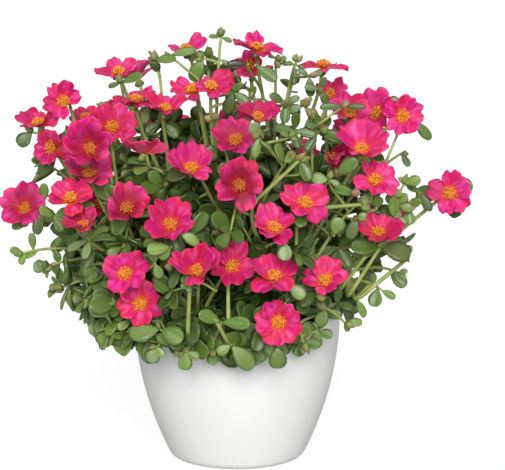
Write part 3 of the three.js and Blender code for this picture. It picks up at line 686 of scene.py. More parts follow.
class Nodes:
    """Short ways to add nodes to a tree. An input takes a value or another node's output."""

    def __init__(self, tree):
        self.tree = tree

    def add(self, kind, inputs=None, **choices):
        made = self.tree.nodes.new(kind)
        for key, value in choices.items():
            setattr(made, key, value)
        for key, value in (inputs or {}).items():
            self.put(value, made.inputs[key])
        return made

    def first(self, kind, inputs=None, **choices):
        """The first output of a new node."""
        return self.add(kind, inputs, **choices).outputs[0]

    def put(self, value, socket):
        if isinstance(value, bpy.types.NodeSocket):
            self.tree.links.new(value, socket)
        elif socket.type == "RGBA" and len(value) == 3:
            socket.default_value = (*value, 1)
        else:
            socket.default_value = value

    def maths(self, operation, a, b=0.0, clamp=False):
        return self.first("ShaderNodeMath", {0: a, 1: b}, operation=operation, use_clamp=clamp)

    def times(self, a, b):
        return self.maths("MULTIPLY", a, b)

    def vector(self, x, y, z=0.0):
        return self.first("ShaderNodeCombineXYZ", {0: x, 1: y, 2: z})


# ---- materials


class Shader(Nodes):
    """A material with one Principled shader, whose own sockets hold the constants."""

    def __init__(self, name, constants):
        self.material = bpy.data.materials.new(name)
        self.material.use_nodes = True
        super().__init__(self.material.node_tree)
        self.shader = self.tree.nodes["Principled BSDF"]
        for key, value in constants.items():
            self.put(value, self.shader.inputs[key])

    def place(self):
        return self.add("ShaderNodeTexCoord").outputs["Object"]

    def pattern(self):
        """Across and along a leaf or petal, each from 0 to 1."""
        pair = self.add("ShaderNodeSeparateXYZ", {0: self.first("ShaderNodeUVMap", uv_map="pattern")})
        return pair.outputs[0], pair.outputs[1]

    def off_middle(self, across):
        """How far across is from the middle, from 0 to 0.5 at the edges."""
        return self.maths("ABSOLUTE", self.maths("SUBTRACT", across, 0.5))

    def value(self, name):
        return self.add("ShaderNodeAttribute", attribute_name=name).outputs["Fac"]

    def noise(self, scale, detail, vector=None, roughness=0.5):
        return self.first("ShaderNodeTexNoise", {"Vector": vector or self.place(), "Scale": scale,
                                                 "Detail": detail, "Roughness": roughness})

    def stretched(self, detail, *axes):
        """Noise over other values than the place, each of them with its own scale."""
        return self.noise(1.0, detail, self.vector(*(self.times(value, scale) for value, scale in axes)))

    def span(self, value, low, high, to_low=0.0, to_high=1.0, **choices):
        """The value, with low to high drawn to another range."""
        inputs = {"Value": value, "From Min": low, "From Max": high, "To Min": to_low, "To Max": to_high}
        return self.first("ShaderNodeMapRange", inputs, **choices)

    def ramp(self, value, stops):
        made = self.add("ShaderNodeValToRGB", {"Fac": value})
        band = made.color_ramp
        while len(band.elements) < len(stops):
            band.elements.new(0.5)
        for element, (at, colour) in zip(band.elements, stops):
            element.position = at
            element.color = (*colour, 1)
        return made.outputs[0]

    def mix(self, share, a, b):
        made = self.add("ShaderNodeMix", data_type="RGBA")
        for value, socket in ((share, 0), (a, 6), (b, 7)):
            self.put(value, made.inputs[socket])
        return made.outputs[2]

    def coats(self, base, *coats):
        """The base under coats of other colours, each as strong as its share."""
        for share, colour in coats:
            base = self.mix(share, base, colour)
        return base

    def finish(self, colour, roughness, height, strength, distance):
        bump = self.first("ShaderNodeBump", {"Height": height, "Strength": strength, "Distance": distance})
        for value, key in ((colour, "Base Color"), (roughness, "Roughness"), (bump, "Normal")):
            self.put(value, self.shader.inputs[key])
        return self.material


def flesh(weight, red, green, blue):
    """How strongly light enters a soft skin, and how far each of its colours goes in metres."""
    return {"Subsurface Weight": weight, "Subsurface Radius": (red, green, blue), "Subsurface Scale": 1.0}


def shade(colour, factor):
    return tuple(min(c * factor, 1.0) for c in colour)


@lru_cache(maxsize=None)
def petal_material():
    petal, coral, throat = settings().petal_colour, settings().coral_colour, settings().throat_colour
    s = Shader("petal_silk", {
        "Roughness": 0.5, "Specular IOR Level": 0.22, "Sheen Weight": 0.05, "Sheen Roughness": 0.45,
        "Sheen Tint": (1.0, 0.45, 0.7), **flesh(0.25, 0.003, 0.0006, 0.0012),
    })
    across, along = s.pattern()
    tint, eye = s.value("tint"), s.value("eye")
    off_middle = s.off_middle(across)
    rim = s.maths("MAXIMUM", s.span(along, 0.80, 1.0, 0.0, 0.55), s.span(off_middle, 0.40, 0.5, 0.0, 0.5))
    warmth = s.maths("ADD", s.value("warm"), s.span(s.noise(85, 3), 0.36, 0.64, -0.55, 0.55))
    body = s.mix(s.maths("ADD", warmth, rim, clamp=True), petal, coral)
    veins = s.stretched(3, (across, 24.0), (along, 1.3), (tint, 9.0))
    # noise that places the painted sheen and the painted shade on the petals
    sheen_and_shade = s.stretched(2, (across, 5.0), (along, 2.2), (tint, 23.0))
    cup_shade = s.maths("SUBTRACT", 0.95, s.times(eye, 1.05), clamp=True)
    colour = s.coats(
        body,
        # veins, then painted sheen and painted shade in patches, whole petals painted lighter and darker at
        # random, then painted shade in the crease down the middle
        (s.span(veins, 0.42, 0.66, 0.0, 0.4), s.mix(0.3, shade(petal, 0.62), shade(coral, 0.62))),
        (s.span(sheen_and_shade, 0.48, 0.70, 0.0, 0.75), (0.92, 0.11, 0.38)),
        (s.span(tint, 0.35, 0.0, 0.0, 0.3), (0.95, 0.13, 0.36)),
        (s.span(sheen_and_shade, 0.48, 0.3, 0.0, 0.6), (0.45, 0.004, 0.10)),
        (s.span(tint, 0.55, 1.0, 0.0, 0.6), (0.42, 0.004, 0.08)),
        (s.span(off_middle, 0.0, 0.035, 0.4, 0.0), shade(petal, 0.7)),
        # painted shade in the cup of a bloom with a dark eye, the flush round the throat, and the throat
        (s.times(s.span(along, 0.94, 0.48), cup_shade), (0.20, 0.003, 0.018)),
        (s.span(along, 0.55, 0.28, 0.0, 0.5), shade(coral, 0.8)),
        (s.span(along, 0.18, 0.38, 1.0, 0.0, interpolation_type="SMOOTHSTEP"),
         s.mix(eye, (0.22, 0.006, 0.02), throat)),
        # the underside
        (s.times(s.value("under"), 0.3), (0.88, 0.10, 0.25)),
    )
    height = s.maths("ADD", veins, s.times(s.noise(900, 2), 0.4))
    return s.finish(colour, s.span(veins, 0.3, 0.7, 0.42, 0.62), height, 0.4, 0.0006)


@lru_cache(maxsize=None)
def leaf_material():
    green = settings().leaf_colour
    s = Shader("leaf_wax", {
        "Roughness": 0.42, "Specular IOR Level": 0.45, **flesh(0.12, 0.0012, 0.002, 0.0005)})
    across, along = s.pattern()
    tint, warm = s.value("tint"), s.value("warm")
    # dark to pale by the leaf's tint, which holds its own tone together with the light and shade painted for
    # its place
    body = s.ramp(tint, [(0.0, shade(green, 0.22)), (0.25, shade(green, 0.52)), (0.5, shade(green, 0.92)),
                         (0.78, (0.225, 0.355, 0.060)), (1.0, (0.33, 0.43, 0.19))])
    some = s.maths("FRACT", s.times(tint, 53.0))  # a second number of each leaf's own
    mottle = s.span(s.noise(260, 4), 0.3, 0.72)
    off_rib = s.off_middle(across)
    rib = s.span(off_rib, 0.0, 0.06, 0.22, 0.0)
    edge, rim = s.span(off_rib, 0.38, 0.5, 0.0, 0.8), s.span(off_rib, 0.43, 0.5, 0.0, 0.8)
    paler = s.maths("SUBTRACT", s.maths("ADD", tint, 0.12), warm, clamp=True)
    colour = s.coats(
        body,
        # greyer leaves, deeper leaves, and mottling
        (s.span(some, 0.55, 0.95, 0.0, 0.5), (0.150, 0.225, 0.088)),
        (s.span(some, 0.3, 0.0, 0.0, 0.5), (0.055, 0.125, 0.020)),
        (s.times(mottle, 0.35), shade(green, 0.6)),
        # the rib, a maroon edge on warm leaves and a pale rim on the others, and the pale foot
        (s.times(rib, tint), (0.30, 0.40, 0.16)),
        (s.times(edge, s.maths("POWER", warm, 1.6)), (0.17, 0.03, 0.025)),
        (s.times(rim, paler), (0.50, 0.57, 0.32)),
        (s.times(s.span(along, 0.0, 0.25, 0.5, 0.0), tint), (0.28, 0.34, 0.10)),
        # olive and maroon leaves, and the underside
        (s.times(warm, 0.45), (0.10, 0.105, 0.03)),
        (s.span(warm, 0.85, 1.0, 0.0, 0.85), (0.035, 0.022, 0.014)),
        (s.times(s.times(s.value("under"), tint), 0.8), (0.19, 0.22, 0.085)),
    )
    height = s.maths("ADD", s.times(s.noise(700, 3), 0.6), s.times(rib, -0.5))
    return s.finish(colour, s.span(s.noise(420, 3), 0.3, 0.7, 0.28, 0.46), height, 0.4, 0.0005)


@lru_cache(maxsize=None)
def stem_material():
    green = settings().stem_colour
    s = Shader("stem_skin", {"Roughness": 0.45, **flesh(0.08, 0.001, 0.0016, 0.0005)})
    fibres = s.noise(1.0, 4, s.first("ShaderNodeMapping", {"Vector": s.place(), "Scale": (900, 900, 90)}))
    colour = s.coats(
        s.ramp(s.noise(55, 3), [(0.3, shade(green, 0.7)), (0.5, green), (0.7, (0.50, 0.54, 0.20))]),
        (s.span(s.noise(28, 2), 0.6, 0.75, 0.0, 0.6), (0.24, 0.10, 0.045)),  # blush
        (s.span(fibres, 0.4, 0.7, 0.0, 0.35), shade(green, 0.5)),
    )
    return s.finish(colour, s.span(fibres, 0.3, 0.7, 0.36, 0.58), fibres, 0.35, 0.0004)


@lru_cache(maxsize=None)
def bud_material():
    s = Shader("bud_skin", {"Roughness": 0.48, **flesh(0.1, 0.0015, 0.0015, 0.0006)})
    across, along = s.pattern()
    green = s.ramp(along, [(0.0, (0.11, 0.18, 0.03)), (0.5, (0.22, 0.29, 0.07)), (0.85, (0.27, 0.24, 0.09)),
                           (1.0, (0.3, 0.12, 0.07))])
    bronze = s.ramp(along, [(0.0, (0.16, 0.14, 0.05)), (0.45, (0.36, 0.27, 0.13)), (1.0, (0.5, 0.33, 0.2))])
    keel = s.noise(1.0, 2, s.vector(s.times(across, 18.0), along))
    colour = s.coats(
        green,
        (s.span(s.value("tint"), 0.7, 0.85), bronze),
        (s.span(keel, 0.4, 0.65, 0.0, 0.4), (0.12, 0.07, 0.03)),
    )
    return s.finish(colour, s.span(keel, 0.3, 0.7, 0.4, 0.6), keel, 0.4, 0.0004)


@lru_cache(maxsize=None)
def anther_material():
    gold = settings().anther_colour
    s = Shader("stamen_gold", {"Roughness": 0.6, **flesh(0.15, 0.001, 0.0006, 0.0002)})
    _, along = s.pattern()
    tip = s.ramp(s.value("tint"), [(0.0, (0.84, 0.20, 0.02)), (0.3, gold), (0.7, (0.96, 0.41, 0.045)),
                                   (1.0, (0.98, 0.55, 0.08))])
    stalk = s.mix(s.span(along, 0.45, 0.75), (0.88, 0.25, 0.03), tip)
    grain = s.noise(4000, 2)
    # stamens darker in a bloom with a dark eye: partly their own colour, partly painted shade in the cup
    lit = s.mix(s.value("eye"), s.mix(0.55, stalk, (0.42, 0.025, 0.012)), stalk)
    dusted = s.mix(s.span(grain, 0.4, 0.7, 0.0, 0.3), lit, shade(gold, 0.6))
    return s.finish(dusted, s.span(grain, 0.3, 0.7, 0.5, 0.75), grain, 0.5, 0.0002)


@lru_cache(maxsize=None)
def pot_material():
    white = settings().pot_colour
    s = Shader("pot_satin_plastic", {
        "Roughness": 0.33, "Specular IOR Level": 0.5, **flesh(0.05, 0.004, 0.004, 0.004)})
    cloud, grain = s.noise(14, 3), s.noise(1500, 3)
    colour = s.coats(
        shade(white, 0.97),
        (s.span(cloud, 0.35, 0.65), white),
        (s.span(s.noise(60, 4), 0.55, 0.8, 0.0, 0.25), shade(white, 0.93)),  # dust
    )
    rough = s.maths("ADD", s.span(cloud, 0.3, 0.7, 0.27, 0.36), s.span(grain, 0.3, 0.7, 0.0, 0.06))
    return s.finish(colour, rough, grain, 0.06, 0.0002)


@lru_cache(maxsize=None)
def soil_material():
    s = Shader("potting_mix", {"Roughness": 0.95, "Specular IOR Level": 0.2})
    lumps = s.noise(220, 5, roughness=0.65)
    base = s.ramp(lumps, [(0.3, (0.012, 0.008, 0.005)), (0.55, (0.045, 0.028, 0.016)),
                          (0.75, (0.1, 0.065, 0.04))])
    tinted = s.mix(s.times(s.value("tint"), 0.6), base, (0.13, 0.085, 0.05))
    return s.finish(tinted, s.span(lumps, 0.3, 0.7, 0.85, 1.0), lumps, 0.8, 0.002)


# ---- the plant's plan, from the frame


# How a bloom opens: a row of HABITS.
Habit = namedtuple("Habit", "lift aside base rim width spin coral eye size right drop")


@dataclass
class Bloom:
    """A bloom by its solid's middle, facing and radius, and its petals' own axis, seat and spread."""

    name: str
    shoot: str
    centre: np.ndarray
    look: np.ndarray
    radius: float
    node: str = ""  # of the frame, where the bloom has one
    joined: bool = False  # to its shoot's solid
    added: bool = False  # to those of the frame

    def __post_init__(self):
        rng = np.random.default_rng(sum(map(ord, self.name)))
        drawn = (8, 0, rng.uniform(34, 46), rng.uniform(4, 22), rng.uniform(0.46, 0.54), rng.uniform(0, 72),
                 rng.uniform(0.1, 0.7), rng.uniform(0.6, 1), 1.0, 0.0, 2.0)
        self.habit = Habit(*HABITS.get(self.name, drawn))
        level = math.degrees(math.asin(np.clip(self.look[2], -1, 1)))
        side = unit(np.cross(self.look, UP))
        lift = min(self.habit.lift, max(STEEPEST_BLOOM - level, 0))
        lifted = turned_about(self.look, side, math.radians(lift))
        self.axis = unit(turned_about(lifted, UP, math.radians(self.habit.aside)))
        across = unit([-self.look[1], self.look[0], 0.0])
        self.seat = (self.centre - self.look * PETAL_SEAT + across * self.habit.right * MM
                     - UP * self.habit.drop * MM)
        self.spread = self.radius * self.habit.size


@dataclass
class Branch:
    """A stem from its root or parent to its tip, as evenly spaced points."""

    shoot: str
    path: np.ndarray
    thick: float
    thin: float
    bloom: Bloom = None
    kind: str = "fork"  # main, fork, sprig, side or twig
    buds: int = 0
    depth: float = 0.0  # how far in from the bush's outline, as a share
    leaves: tuple = ()


def read_bloom(node):
    """A bloom from its solid in the frame."""
    points = np.unique(np.round([v.co[:] for v in frame["nodes"][node].data.vertices], 6), axis=0)
    middle = points.mean(axis=0)
    look = np.linalg.eigh(np.cov((points - middle).T))[1][:, 0]
    along = (points - middle) @ look
    if abs(along.min()) < along.max():
        look, along = -look, -along
    centre = points[along.argmin()] + look * CALYX
    out = points - centre
    out = out - np.outer(out @ look, look)
    name = node.removeprefix("bloom_")
    return Bloom(name, name.rsplit("_", 1)[0], centre, look, norm(out, axis=1).max(), node)


def on_dome(turn, z, share=1.0):
    r = share * DOME["radius"] * math.sqrt(1 - ((z - DOME["centre"]) / DOME["height"]) ** 2)
    return around(r, turn, z)


def back_shoot(name, turn):
    """Blooms and sprig tips of a shoot at the back, in rows on the dome."""
    blooms, sprigs = [], []
    for i, (z, swing) in enumerate(BACK_BLOOM_ROWS):
        tilt = BACK_BLOOM_TILT * (z - LEVEL_BLOOM) / (BACK_BLOOM_ROWS[0][0] - LEVEL_BLOOM)
        swung = turn + BACK_BLOOM_SWING * swing
        spot = on_dome(swung, z, BACK_DRAWN_IN.get(f"{name}_{i + 1}", 1.0))
        radius = BACK_BLOOM_RADIUS - i * MM
        blooms.append(Bloom(f"{name}_{i + 1}", name, spot, facing(swung, tilt), radius, joined=True))
    for z, swing in BACK_SPRIG_ROWS:
        spot = on_dome(turn + BACK_SPRIG_SWING * swing, z)
        sprigs.append(np.array([spot[0] * BACK_SPRIG_REACH, spot[1] * BACK_SPRIG_REACH, z]))
    return blooms, sprigs


@lru_cache(maxsize=None)
def blooms_by_shoot():
    found = {name: [] for name in SHOOTS}
    for node in frame["nodes"]:
        if node.startswith("bloom_"):
            bloom = read_bloom(node)
            found[bloom.shoot].append(bloom)
    for rows in found.values():
        rows.sort(key=lambda b: int(b.name.rsplit("_", 1)[1]))
    for name, (_, turn) in BACK_SHOOTS.items():
        found[name] = back_shoot(name, turn)[0]
        for i, (turn, z) in enumerate(BACK_ADDED[name], len(BACK_BLOOM_ROWS) + 1):
            look = facing(turn, ADDED_BLOOM_TILT * (z - LEVEL_BLOOM))
            spot = on_dome(turn, z, ADDED_BLOOM_REACH)
            found[name].append(Bloom(f"{name}_{i}", name, spot, look, ADDED_BLOOM_RADIUS, added=True))
    return found


def all_blooms():
    return [b for rows in blooms_by_shoot().values() for b in rows]


def on_line(line, share):
    """The place at that share of a line of even steps, and the step that it lies in."""
    steps = len(line) - 1
    step = min(int(share * steps), steps - 1)
    return line[step] + (line[step + 1] - line[step]) * (share * steps - step), step


def grow_shoot(name, root, blooms, sprigs):
    """The shoot's stems as the frame's solid has them: of each fork's possible bends, the one that
    lies inside the solid."""
    mesh = frame["nodes"]["shoot_" + name].data
    surface = BVHTree.FromPolygons([v.co for v in mesh.vertices], [p.vertices[:] for p in mesh.polygons])

    def off_surface(path):
        return max(surface.find_nearest(p)[3] for p in even(path, 6)[1:-1])

    tips = [b.centre for b in blooms] + sprigs
    middle = np.mean(tips, axis=0)
    neck = np.array([*root, SOIL_TOP + SOIL_CROWN + NECK])
    rise = neck + UP * MAIN_LIFT
    top = neck + (middle - neck) * MAIN_SHARE
    main = even(bezier(neck - UP * MM, rise, (rise + top) / 2, top, 60), 41)
    coarse = even(main, 6)
    heights = sorted(t[2] for t in tips)
    rooted = np.concatenate([[neck - UP * ROOT_DEPTH], even(main, 14)])
    branches = [Branch(name, rooted, *THICKNESS["main"], kind="main")]
    for i, tip in enumerate(tips):
        share = FIRST_FORK + (LAST_FORK - FIRST_FORK) * (heights.index(tip[2]) / (len(tips) - 1))
        hub, _ = on_line(coarse, share)
        _, step = on_line(main, share)
        length = norm(tip - hub)
        ahead = unit(main[step + 1] - main[step])
        out = ahead + (unit(tip - hub) - ahead) * FORK_OPEN
        leave = hub + out * FORK_LEAVES * length
        choices = []
        for back, aside in BENDS:
            back, aside = back * MM, aside * MM
            if i < len(blooms):
                look = blooms[i].look
                end = tip + look * (STEM_INTO_CALYX - CALYX - (0 if blooms[i].joined else STEM_GAP))
                before = end - look * back + unit(np.cross(look, UP)) * aside
            else:
                end = tip
                before = tip + (hub - tip) * SPRIG_BENDS + UP * back + unit(np.cross(tip, UP)) * aside
            choices.append(bezier(hub, leave, before, end, 50))
        path = even(min(choices, key=off_surface), 18)
        if i < len(blooms):
            path = np.concatenate([path, [blooms[i].seat - blooms[i].axis * MM]])
            branches.append(Branch(name, path, *THICKNESS["fork"], blooms[i]))
        else:
            branches.append(Branch(name, path, *THICKNESS["sprig"], kind="sprig", buds=SPRIG_BUDS))
    return branches


def foliage_radius(z, turn=0.0):
    """How far the leaves reach from the pot's axis at a height, less over the rim on the right."""
    right = max(math.sin(math.radians(turn)), 0) * np.interp(z, *RIM_BARED)
    return np.interp(z, *FOLIAGE_OUTLINE) * (1 - RIM_DRAWN_IN * right)


def wall_radius(z):
    left = 1 - min(max(z / POT_HEIGHT, 0), 1)
    return FOOT_RADIUS + (RIM_RADIUS - FOOT_RADIUS) * (1 - left ** BELLY)


def clear_of_pot(point, room):
    r = math.hypot(point[0], point[1])
    if point[2] > POT_HEIGHT + room:
        return True
    if point[2] > SOIL_TOP + SOIL_CROWN and r < RIM_RADIUS - WALL - room:
        return True
    return point[2] > LOWEST_LEAF and r > wall_radius(point[2]) + room


def clear_of_blooms(point, blooms, kind):
    """False in a bloom's cup, close over its face, or between a bloom and the front, with the room
    that such a kind of point needs."""
    room, screen = BLOOM_ROOM[kind]
    for b in blooms:
        off = point - b.seat
        if off @ off > FAR_FROM_BLOOM:
            continue
        high = off @ b.axis
        out = norm(off - high * b.axis)
        if CUP[0] < high < CUP[1] and out < b.spread * room + MM:
            return False
        if 0 < high < FACE_CLEAR and out < b.spread * FACE_SHARE:
            return False
        if b.look @ TOWARDS_FRONT < SEEN:
            continue
        ahead = off @ TOWARDS_FRONT
        if ahead > 0 and norm(off - ahead * TOWARDS_FRONT) < b.spread * screen:
            return False
    return True


def young_stem(start, before, end, count):
    """A stem that leaves its parent upwards and passes before on its way to its end."""
    length = norm(end - start)
    leave = start + unit(end - start + UP * YOUNG_RISES * length) * YOUNG_LEAVES * length
    return even(bezier(start, leave, before, end, 24), count)


def grow_side_shoots(branches, count, rng, inside=None):
    """Small leafy shoots that leave the nearest stem and end near the outline of the bush, or between
    two shares of the way in to its axis."""
    blooms = all_blooms()
    stems = [b for b in branches if b.kind in ("fork", "sprig", "main")]
    spots = np.concatenate([b.path[2:-4] for b in stems])
    owners = np.concatenate([[i] * len(b.path[2:-4]) for i, b in enumerate(stems)])
    grown, tips, tries = [], [], 0
    while len(grown) < count and tries < SIDE_TRIES:
        tries += 1
        z = SIDE_LOWEST + SIDE_RANGE * rng.random() ** SIDE_LOW_POWER
        turn = 360 * rng.random()
        depth = rng.uniform(*inside) if inside else SIDE_DEPTH * rng.random() ** SIDE_DEPTH_POWER
        if rng.random() > np.interp(z, *SIDE_KEPT):
            continue
        bare = np.interp(turn, *BARE_BY_TURN) * (BARE_INSIDE if inside else 1.0)
        if rng.random() < bare * np.interp(z, *BARE_BY_HEIGHT):
            continue
        tip = around(foliage_radius(z, turn) * (1 - depth), turn, z)
        if not clear_of_pot(tip, POT_ROOM["tip"]) or not clear_of_blooms(tip, blooms, "tip"):
            continue
        apart = INNER_APART if inside else np.interp(z, *SIDE_APART)
        if tips and np.min(norm(np.array(tips) - tip, axis=1)) < apart:
            continue
        # the nearest stem, but rather not one that lies higher, nor one in the pot for a tip near the rim
        gap = norm(spots - tip, axis=1)
        gap = gap + HIGHER_COSTS * np.maximum(spots[:, 2] - tip[2] - HIGHER_FREE, 0)
        gap += IN_POT_COSTS * ((spots[:, 2] < POT_HEIGHT + IN_POT) & (tip[2] < POT_HEIGHT + NEAR_RIM))
        near = int(gap.argmin())
        start, owner = spots[near], stems[owners[near]]
        length = norm(tip - start)
        if not SIDE_SHORTEST < length < SIDE_LONGEST:
            continue
        out = unit([tip[0], tip[1], 0])
        if tip[2] < POT_HEIGHT:
            before = tip + UP * OVER_RIM[0] * length - out * OVER_RIM[1] * length
        else:
            before = tip - (out * SIDE_BENDS[0] + UP * SIDE_BENDS[1]) * SIDE_BENDS[2] * length
        path = young_stem(start, before, tip, 9)
        if not all(clear_of_pot(p, POT_ROOM["stem"]) for p in path[1:]):
            continue
        if not all(clear_of_blooms(p, blooms, "stem") for p in path[2:]):
            continue
        tips.append(tip)
        buds = int(SIDE_BUD_COUNT * (rng.random() < np.interp(z, *SIDE_BUDS)))
        grown.append(Branch(owner.shoot, path, *THICKNESS["side"], kind="side", buds=buds, depth=depth))
    return grown


def grow_twig(branches, shoot, tip, bloom=None, way=None):
    """A twig to that tip from the nearest stem of its shoot, past the way if it has one."""
    blooms = all_blooms()
    spots = np.concatenate([b.path[2:-2] for b in branches if b.shoot == shoot])
    end = tip if way is None else way
    away = norm(spots - end, axis=1)
    away = away + TWIG_HIGHER_COSTS * np.maximum(spots[:, 2] - end[2] + TWIG_HIGHER_FREE, 0)
    if way is not None:
        inward = math.hypot(*end[:2]) - norm(spots[:, :2], axis=1)
        away += TWIG_INWARD_COSTS * np.maximum(TWIG_INWARD - inward, 0)
    nearest = spots[np.argsort(away)[:TWIG_STARTS]]
    for start in [*nearest, nearest[0]]:
        out = unit(tip - end) if way is not None else unit(unit([tip[0], tip[1], 0.0]) + UP * TWIG_RISES)
        ahead = bloom.axis if bloom else unit(out + unit(end - start))
        path = young_stem(start, end - ahead * TWIG_AHEAD * norm(end - start), end, 12)
        if all(clear_of_blooms(p, blooms, "twig") for p in path[1:-2]):
            break
    if way is not None:
        path = even(np.concatenate([path, [tip]]), 16)
        thick = STOUT_TWIG if tip[2] < HIGH_UP else SLIM_TWIG
        return Branch(shoot, path, thick, TWIG_TAPER * thick, kind="twig")
    if bloom:
        return Branch(shoot, path, *THICKNESS["added"], bloom)
    return Branch(shoot, path, *THICKNESS["twig"], kind="twig")


def grow_twigs(branches):
    """The twigs of the plan. Those that are sprigs already only take their leaves."""
    grown = []
    for shoot, tip, buds, leaves, *way in TWIGS:
        tip = metres(tip)
        own = [b for b in branches if b.shoot == shoot and b.kind == "sprig"]
        twig = next((b for b in own if norm(b.path[-1] - tip) < 2 * MM), None)
        if twig:
            twig.kind = "twig"
        else:
            twig = grow_twig(branches, shoot, tip, way=metres(way[0]) if way else None)
            grown.append(twig)
        twig.buds, twig.leaves = buds, leaves
    return grown


@lru_cache(maxsize=None)
def planned_branches():
    by_shoot = blooms_by_shoot()
    branches = []
    for name, (root, sprigs) in SHOOTS.items():
        branches += grow_shoot(name, metres(root), by_shoot[name], [metres(s) for s in sprigs])
    for name, (root, turn) in BACK_SHOOTS.items():
        given = [b for b in by_shoot[name] if not b.added]
        branches += grow_shoot(name, metres(root), given, back_shoot(name, turn)[1])
    added = [b for b in all_blooms() if b.added]
    branches += [grow_twig(branches, b.shoot, b.seat - b.axis * MM, b) for b in added]
    return branches + grow_twigs(branches)


@lru_cache(maxsize=None)
def all_branches():
    """The planned stems with their side shoots: near the outline, inside, and close to the axis."""
    planned, grown = planned_branches(), []
    counts = settings().side_shoots, settings().inner_shoots, settings().core_shoots
    for seed, count, inside in zip(SIDE_SEEDS, counts, (None, INNER_REACH, CORE_REACH)):
        grown += grow_side_shoots(planned, count, np.random.default_rng(seed), inside)
    return planned + [b for b in grown if all(hides_nothing(p) for p in b.path[-4:])]


def own_leaves(b):
    """Base, direction and the table's numbers of each of a twig's own leaves."""
    for turn, length, width, tint, *rest in b.leaves:
        warm, back = (*rest, 0, 0)[:2]
        base = at_distance(b.path, max(distances(b.path)[-1] - back * MM, 0))
        a = math.radians(turn)
        ahead = unit(np.array([math.cos(a), 0.0, math.sin(a)]) + TOWARDS_FRONT * 0.12)
        yield base, ahead, length * MM, width, tint, warm


@lru_cache(maxsize=None)
def kept_in_sight():
    """Places that no leaf may hide from the front, with the room that each needs: the stems below the
    blooms, and the twigs' own leaves."""
    spots, rooms = [], []
    for b in planned_branches():
        if b.kind == "fork" and (b.bloom.name in STEMS_SHOWN or b.path[-1][2] > HIGH_UP):
            shown = b.path[-8:-2]
            spots += list(shown)
            rooms += [STEM_SHOWN_ROOM] * len(shown)
        if b.kind == "twig" and b.thick > STOUT:
            spots += list(b.path[-9:])
            rooms += [TWIG_SHOWN_ROOM] * 9
        for base, ahead, length, _, _, _ in own_leaves(b):
            spots.append(base + ahead * length * LEAF_SHOWN_AT)
            rooms.append(length * LEAF_SHOWN_ROOM)
    return np.array(spots), np.array(rooms)


def hides_nothing(point):
    spots, rooms = kept_in_sight()
    off = point - spots
    ahead = off @ TOWARDS_FRONT
    beside = norm(off - ahead[:, None] * TOWARDS_FRONT, axis=1)
    low, high = BEFORE_SHOWN
    return not np.any((ahead > low) & (ahead < high) & (beside < rooms + SHOWN_MARGIN))


# ---- growing with geometry nodes


class Growth(Nodes):
    """A Geometry Nodes tree with named inputs, which takes a geometry and a material besides."""

    def __init__(self, name, **inputs):
        super().__init__(bpy.data.node_groups.new(name, "GeometryNodeTree"))
        face = self.tree.interface
        face.new_socket("Geometry", in_out="INPUT", socket_type="NodeSocketGeometry")
        for key, (kind, value) in {**inputs, "Material": ("Material", None)}.items():
            made = face.new_socket(key, in_out="INPUT", socket_type="NodeSocket" + kind)
            if value is not None:
                made.default_value = value
        face.new_socket("Geometry", in_out="OUTPUT", socket_type="NodeSocketGeometry")
        self.given = self.add("NodeGroupInput").outputs
        self.out = self.add("NodeGroupOutput")

    def named(self, name, kind):
        node = self.add("GeometryNodeInputNamedAttribute", {"Name": name}, data_type=kind)
        return next(o for o in node.outputs if o.enabled and o.name == "Attribute")

    def random(self, low, high, seed):
        return self.add("FunctionNodeRandomValue", {"Min": low, "Max": high, "Seed": seed}).outputs[1]

    def seed(self, step):
        """The seed that is given, a few steps on."""
        return self.maths("ADD", self.given["Seed"], step)

    def shelf(self):
        """The shapes of the collection that is given, each an instance of its own."""
        return self.first("GeometryNodeCollectionInfo", {
            "Collection": self.given["Shapes"], "Separate Children": True, "Reset Children": True})

    def stand(self, points, shape, angles, size, **more):
        """The shape on each point, turned by three angles and sized by three numbers."""
        turn = self.first("FunctionNodeEulerToRotation", {0: angles})
        more = {key.replace("_", " "): value for key, value in more.items()}
        return self.first("GeometryNodeInstanceOnPoints", {
            "Points": points, "Instance": shape, "Rotation": turn, "Scale": size, **more})

    def tinted(self, stood, seed):
        """The instances with a number of its own for each one's tint."""
        return self.first("GeometryNodeStoreNamedAttribute", {
            "Geometry": stood, "Name": "tint", "Value": self.random(0.0, 1.0, seed),
        }, data_type="FLOAT", domain="INSTANCE")

    def close(self, geometry):
        """Ends in plain mesh with its material."""
        real = self.first("GeometryNodeRealizeInstances", {"Geometry": geometry})
        smooth = self.first("GeometryNodeSetShadeSmooth", {"Geometry": real})
        dressed = self.first("GeometryNodeSetMaterial", {
            "Geometry": smooth, "Material": self.given["Material"]})
        self.tree.links.new(dressed, self.out.inputs[0])
        return self.tree


def run_growth(name, carrier, tree, **inputs):
    """Runs a tree on a carrier object, and leaves a plain mesh object of that name."""
    modifier = carrier.modifiers.new("growth", "NODES")
    modifier.node_group = tree
    for item in tree.interface.items_tree:
        if item.in_out == "INPUT" and item.name in inputs:
            modifier[item.identifier] = inputs[item.name]
    bpy.context.view_layer.update()
    mesh = evaluated_mesh(carrier)
    bpy.data.objects.remove(carrier)
    mesh.name = name
    return linked(name, mesh)


@lru_cache(maxsize=None)
def planting_tree():
    """Stands one of several shapes on each point, by its kind, turn and size."""
    g = Growth("planting", Shapes=("Collection", None), Size=("Float", 1.0))
    points = g.first("GeometryNodeMeshToPoints", {"Mesh": g.given["Geometry"]})
    size = g.first("ShaderNodeVectorMath", {0: g.named("size", "FLOAT_VECTOR"), "Scale": g.given["Size"]},
                   operation="SCALE")
    return g.close(g.stand(points, g.shelf(), g.named("turn", "FLOAT_VECTOR"), size, Pick_Instance=True,
                           Instance_Index=g.named("kind", "INT")))


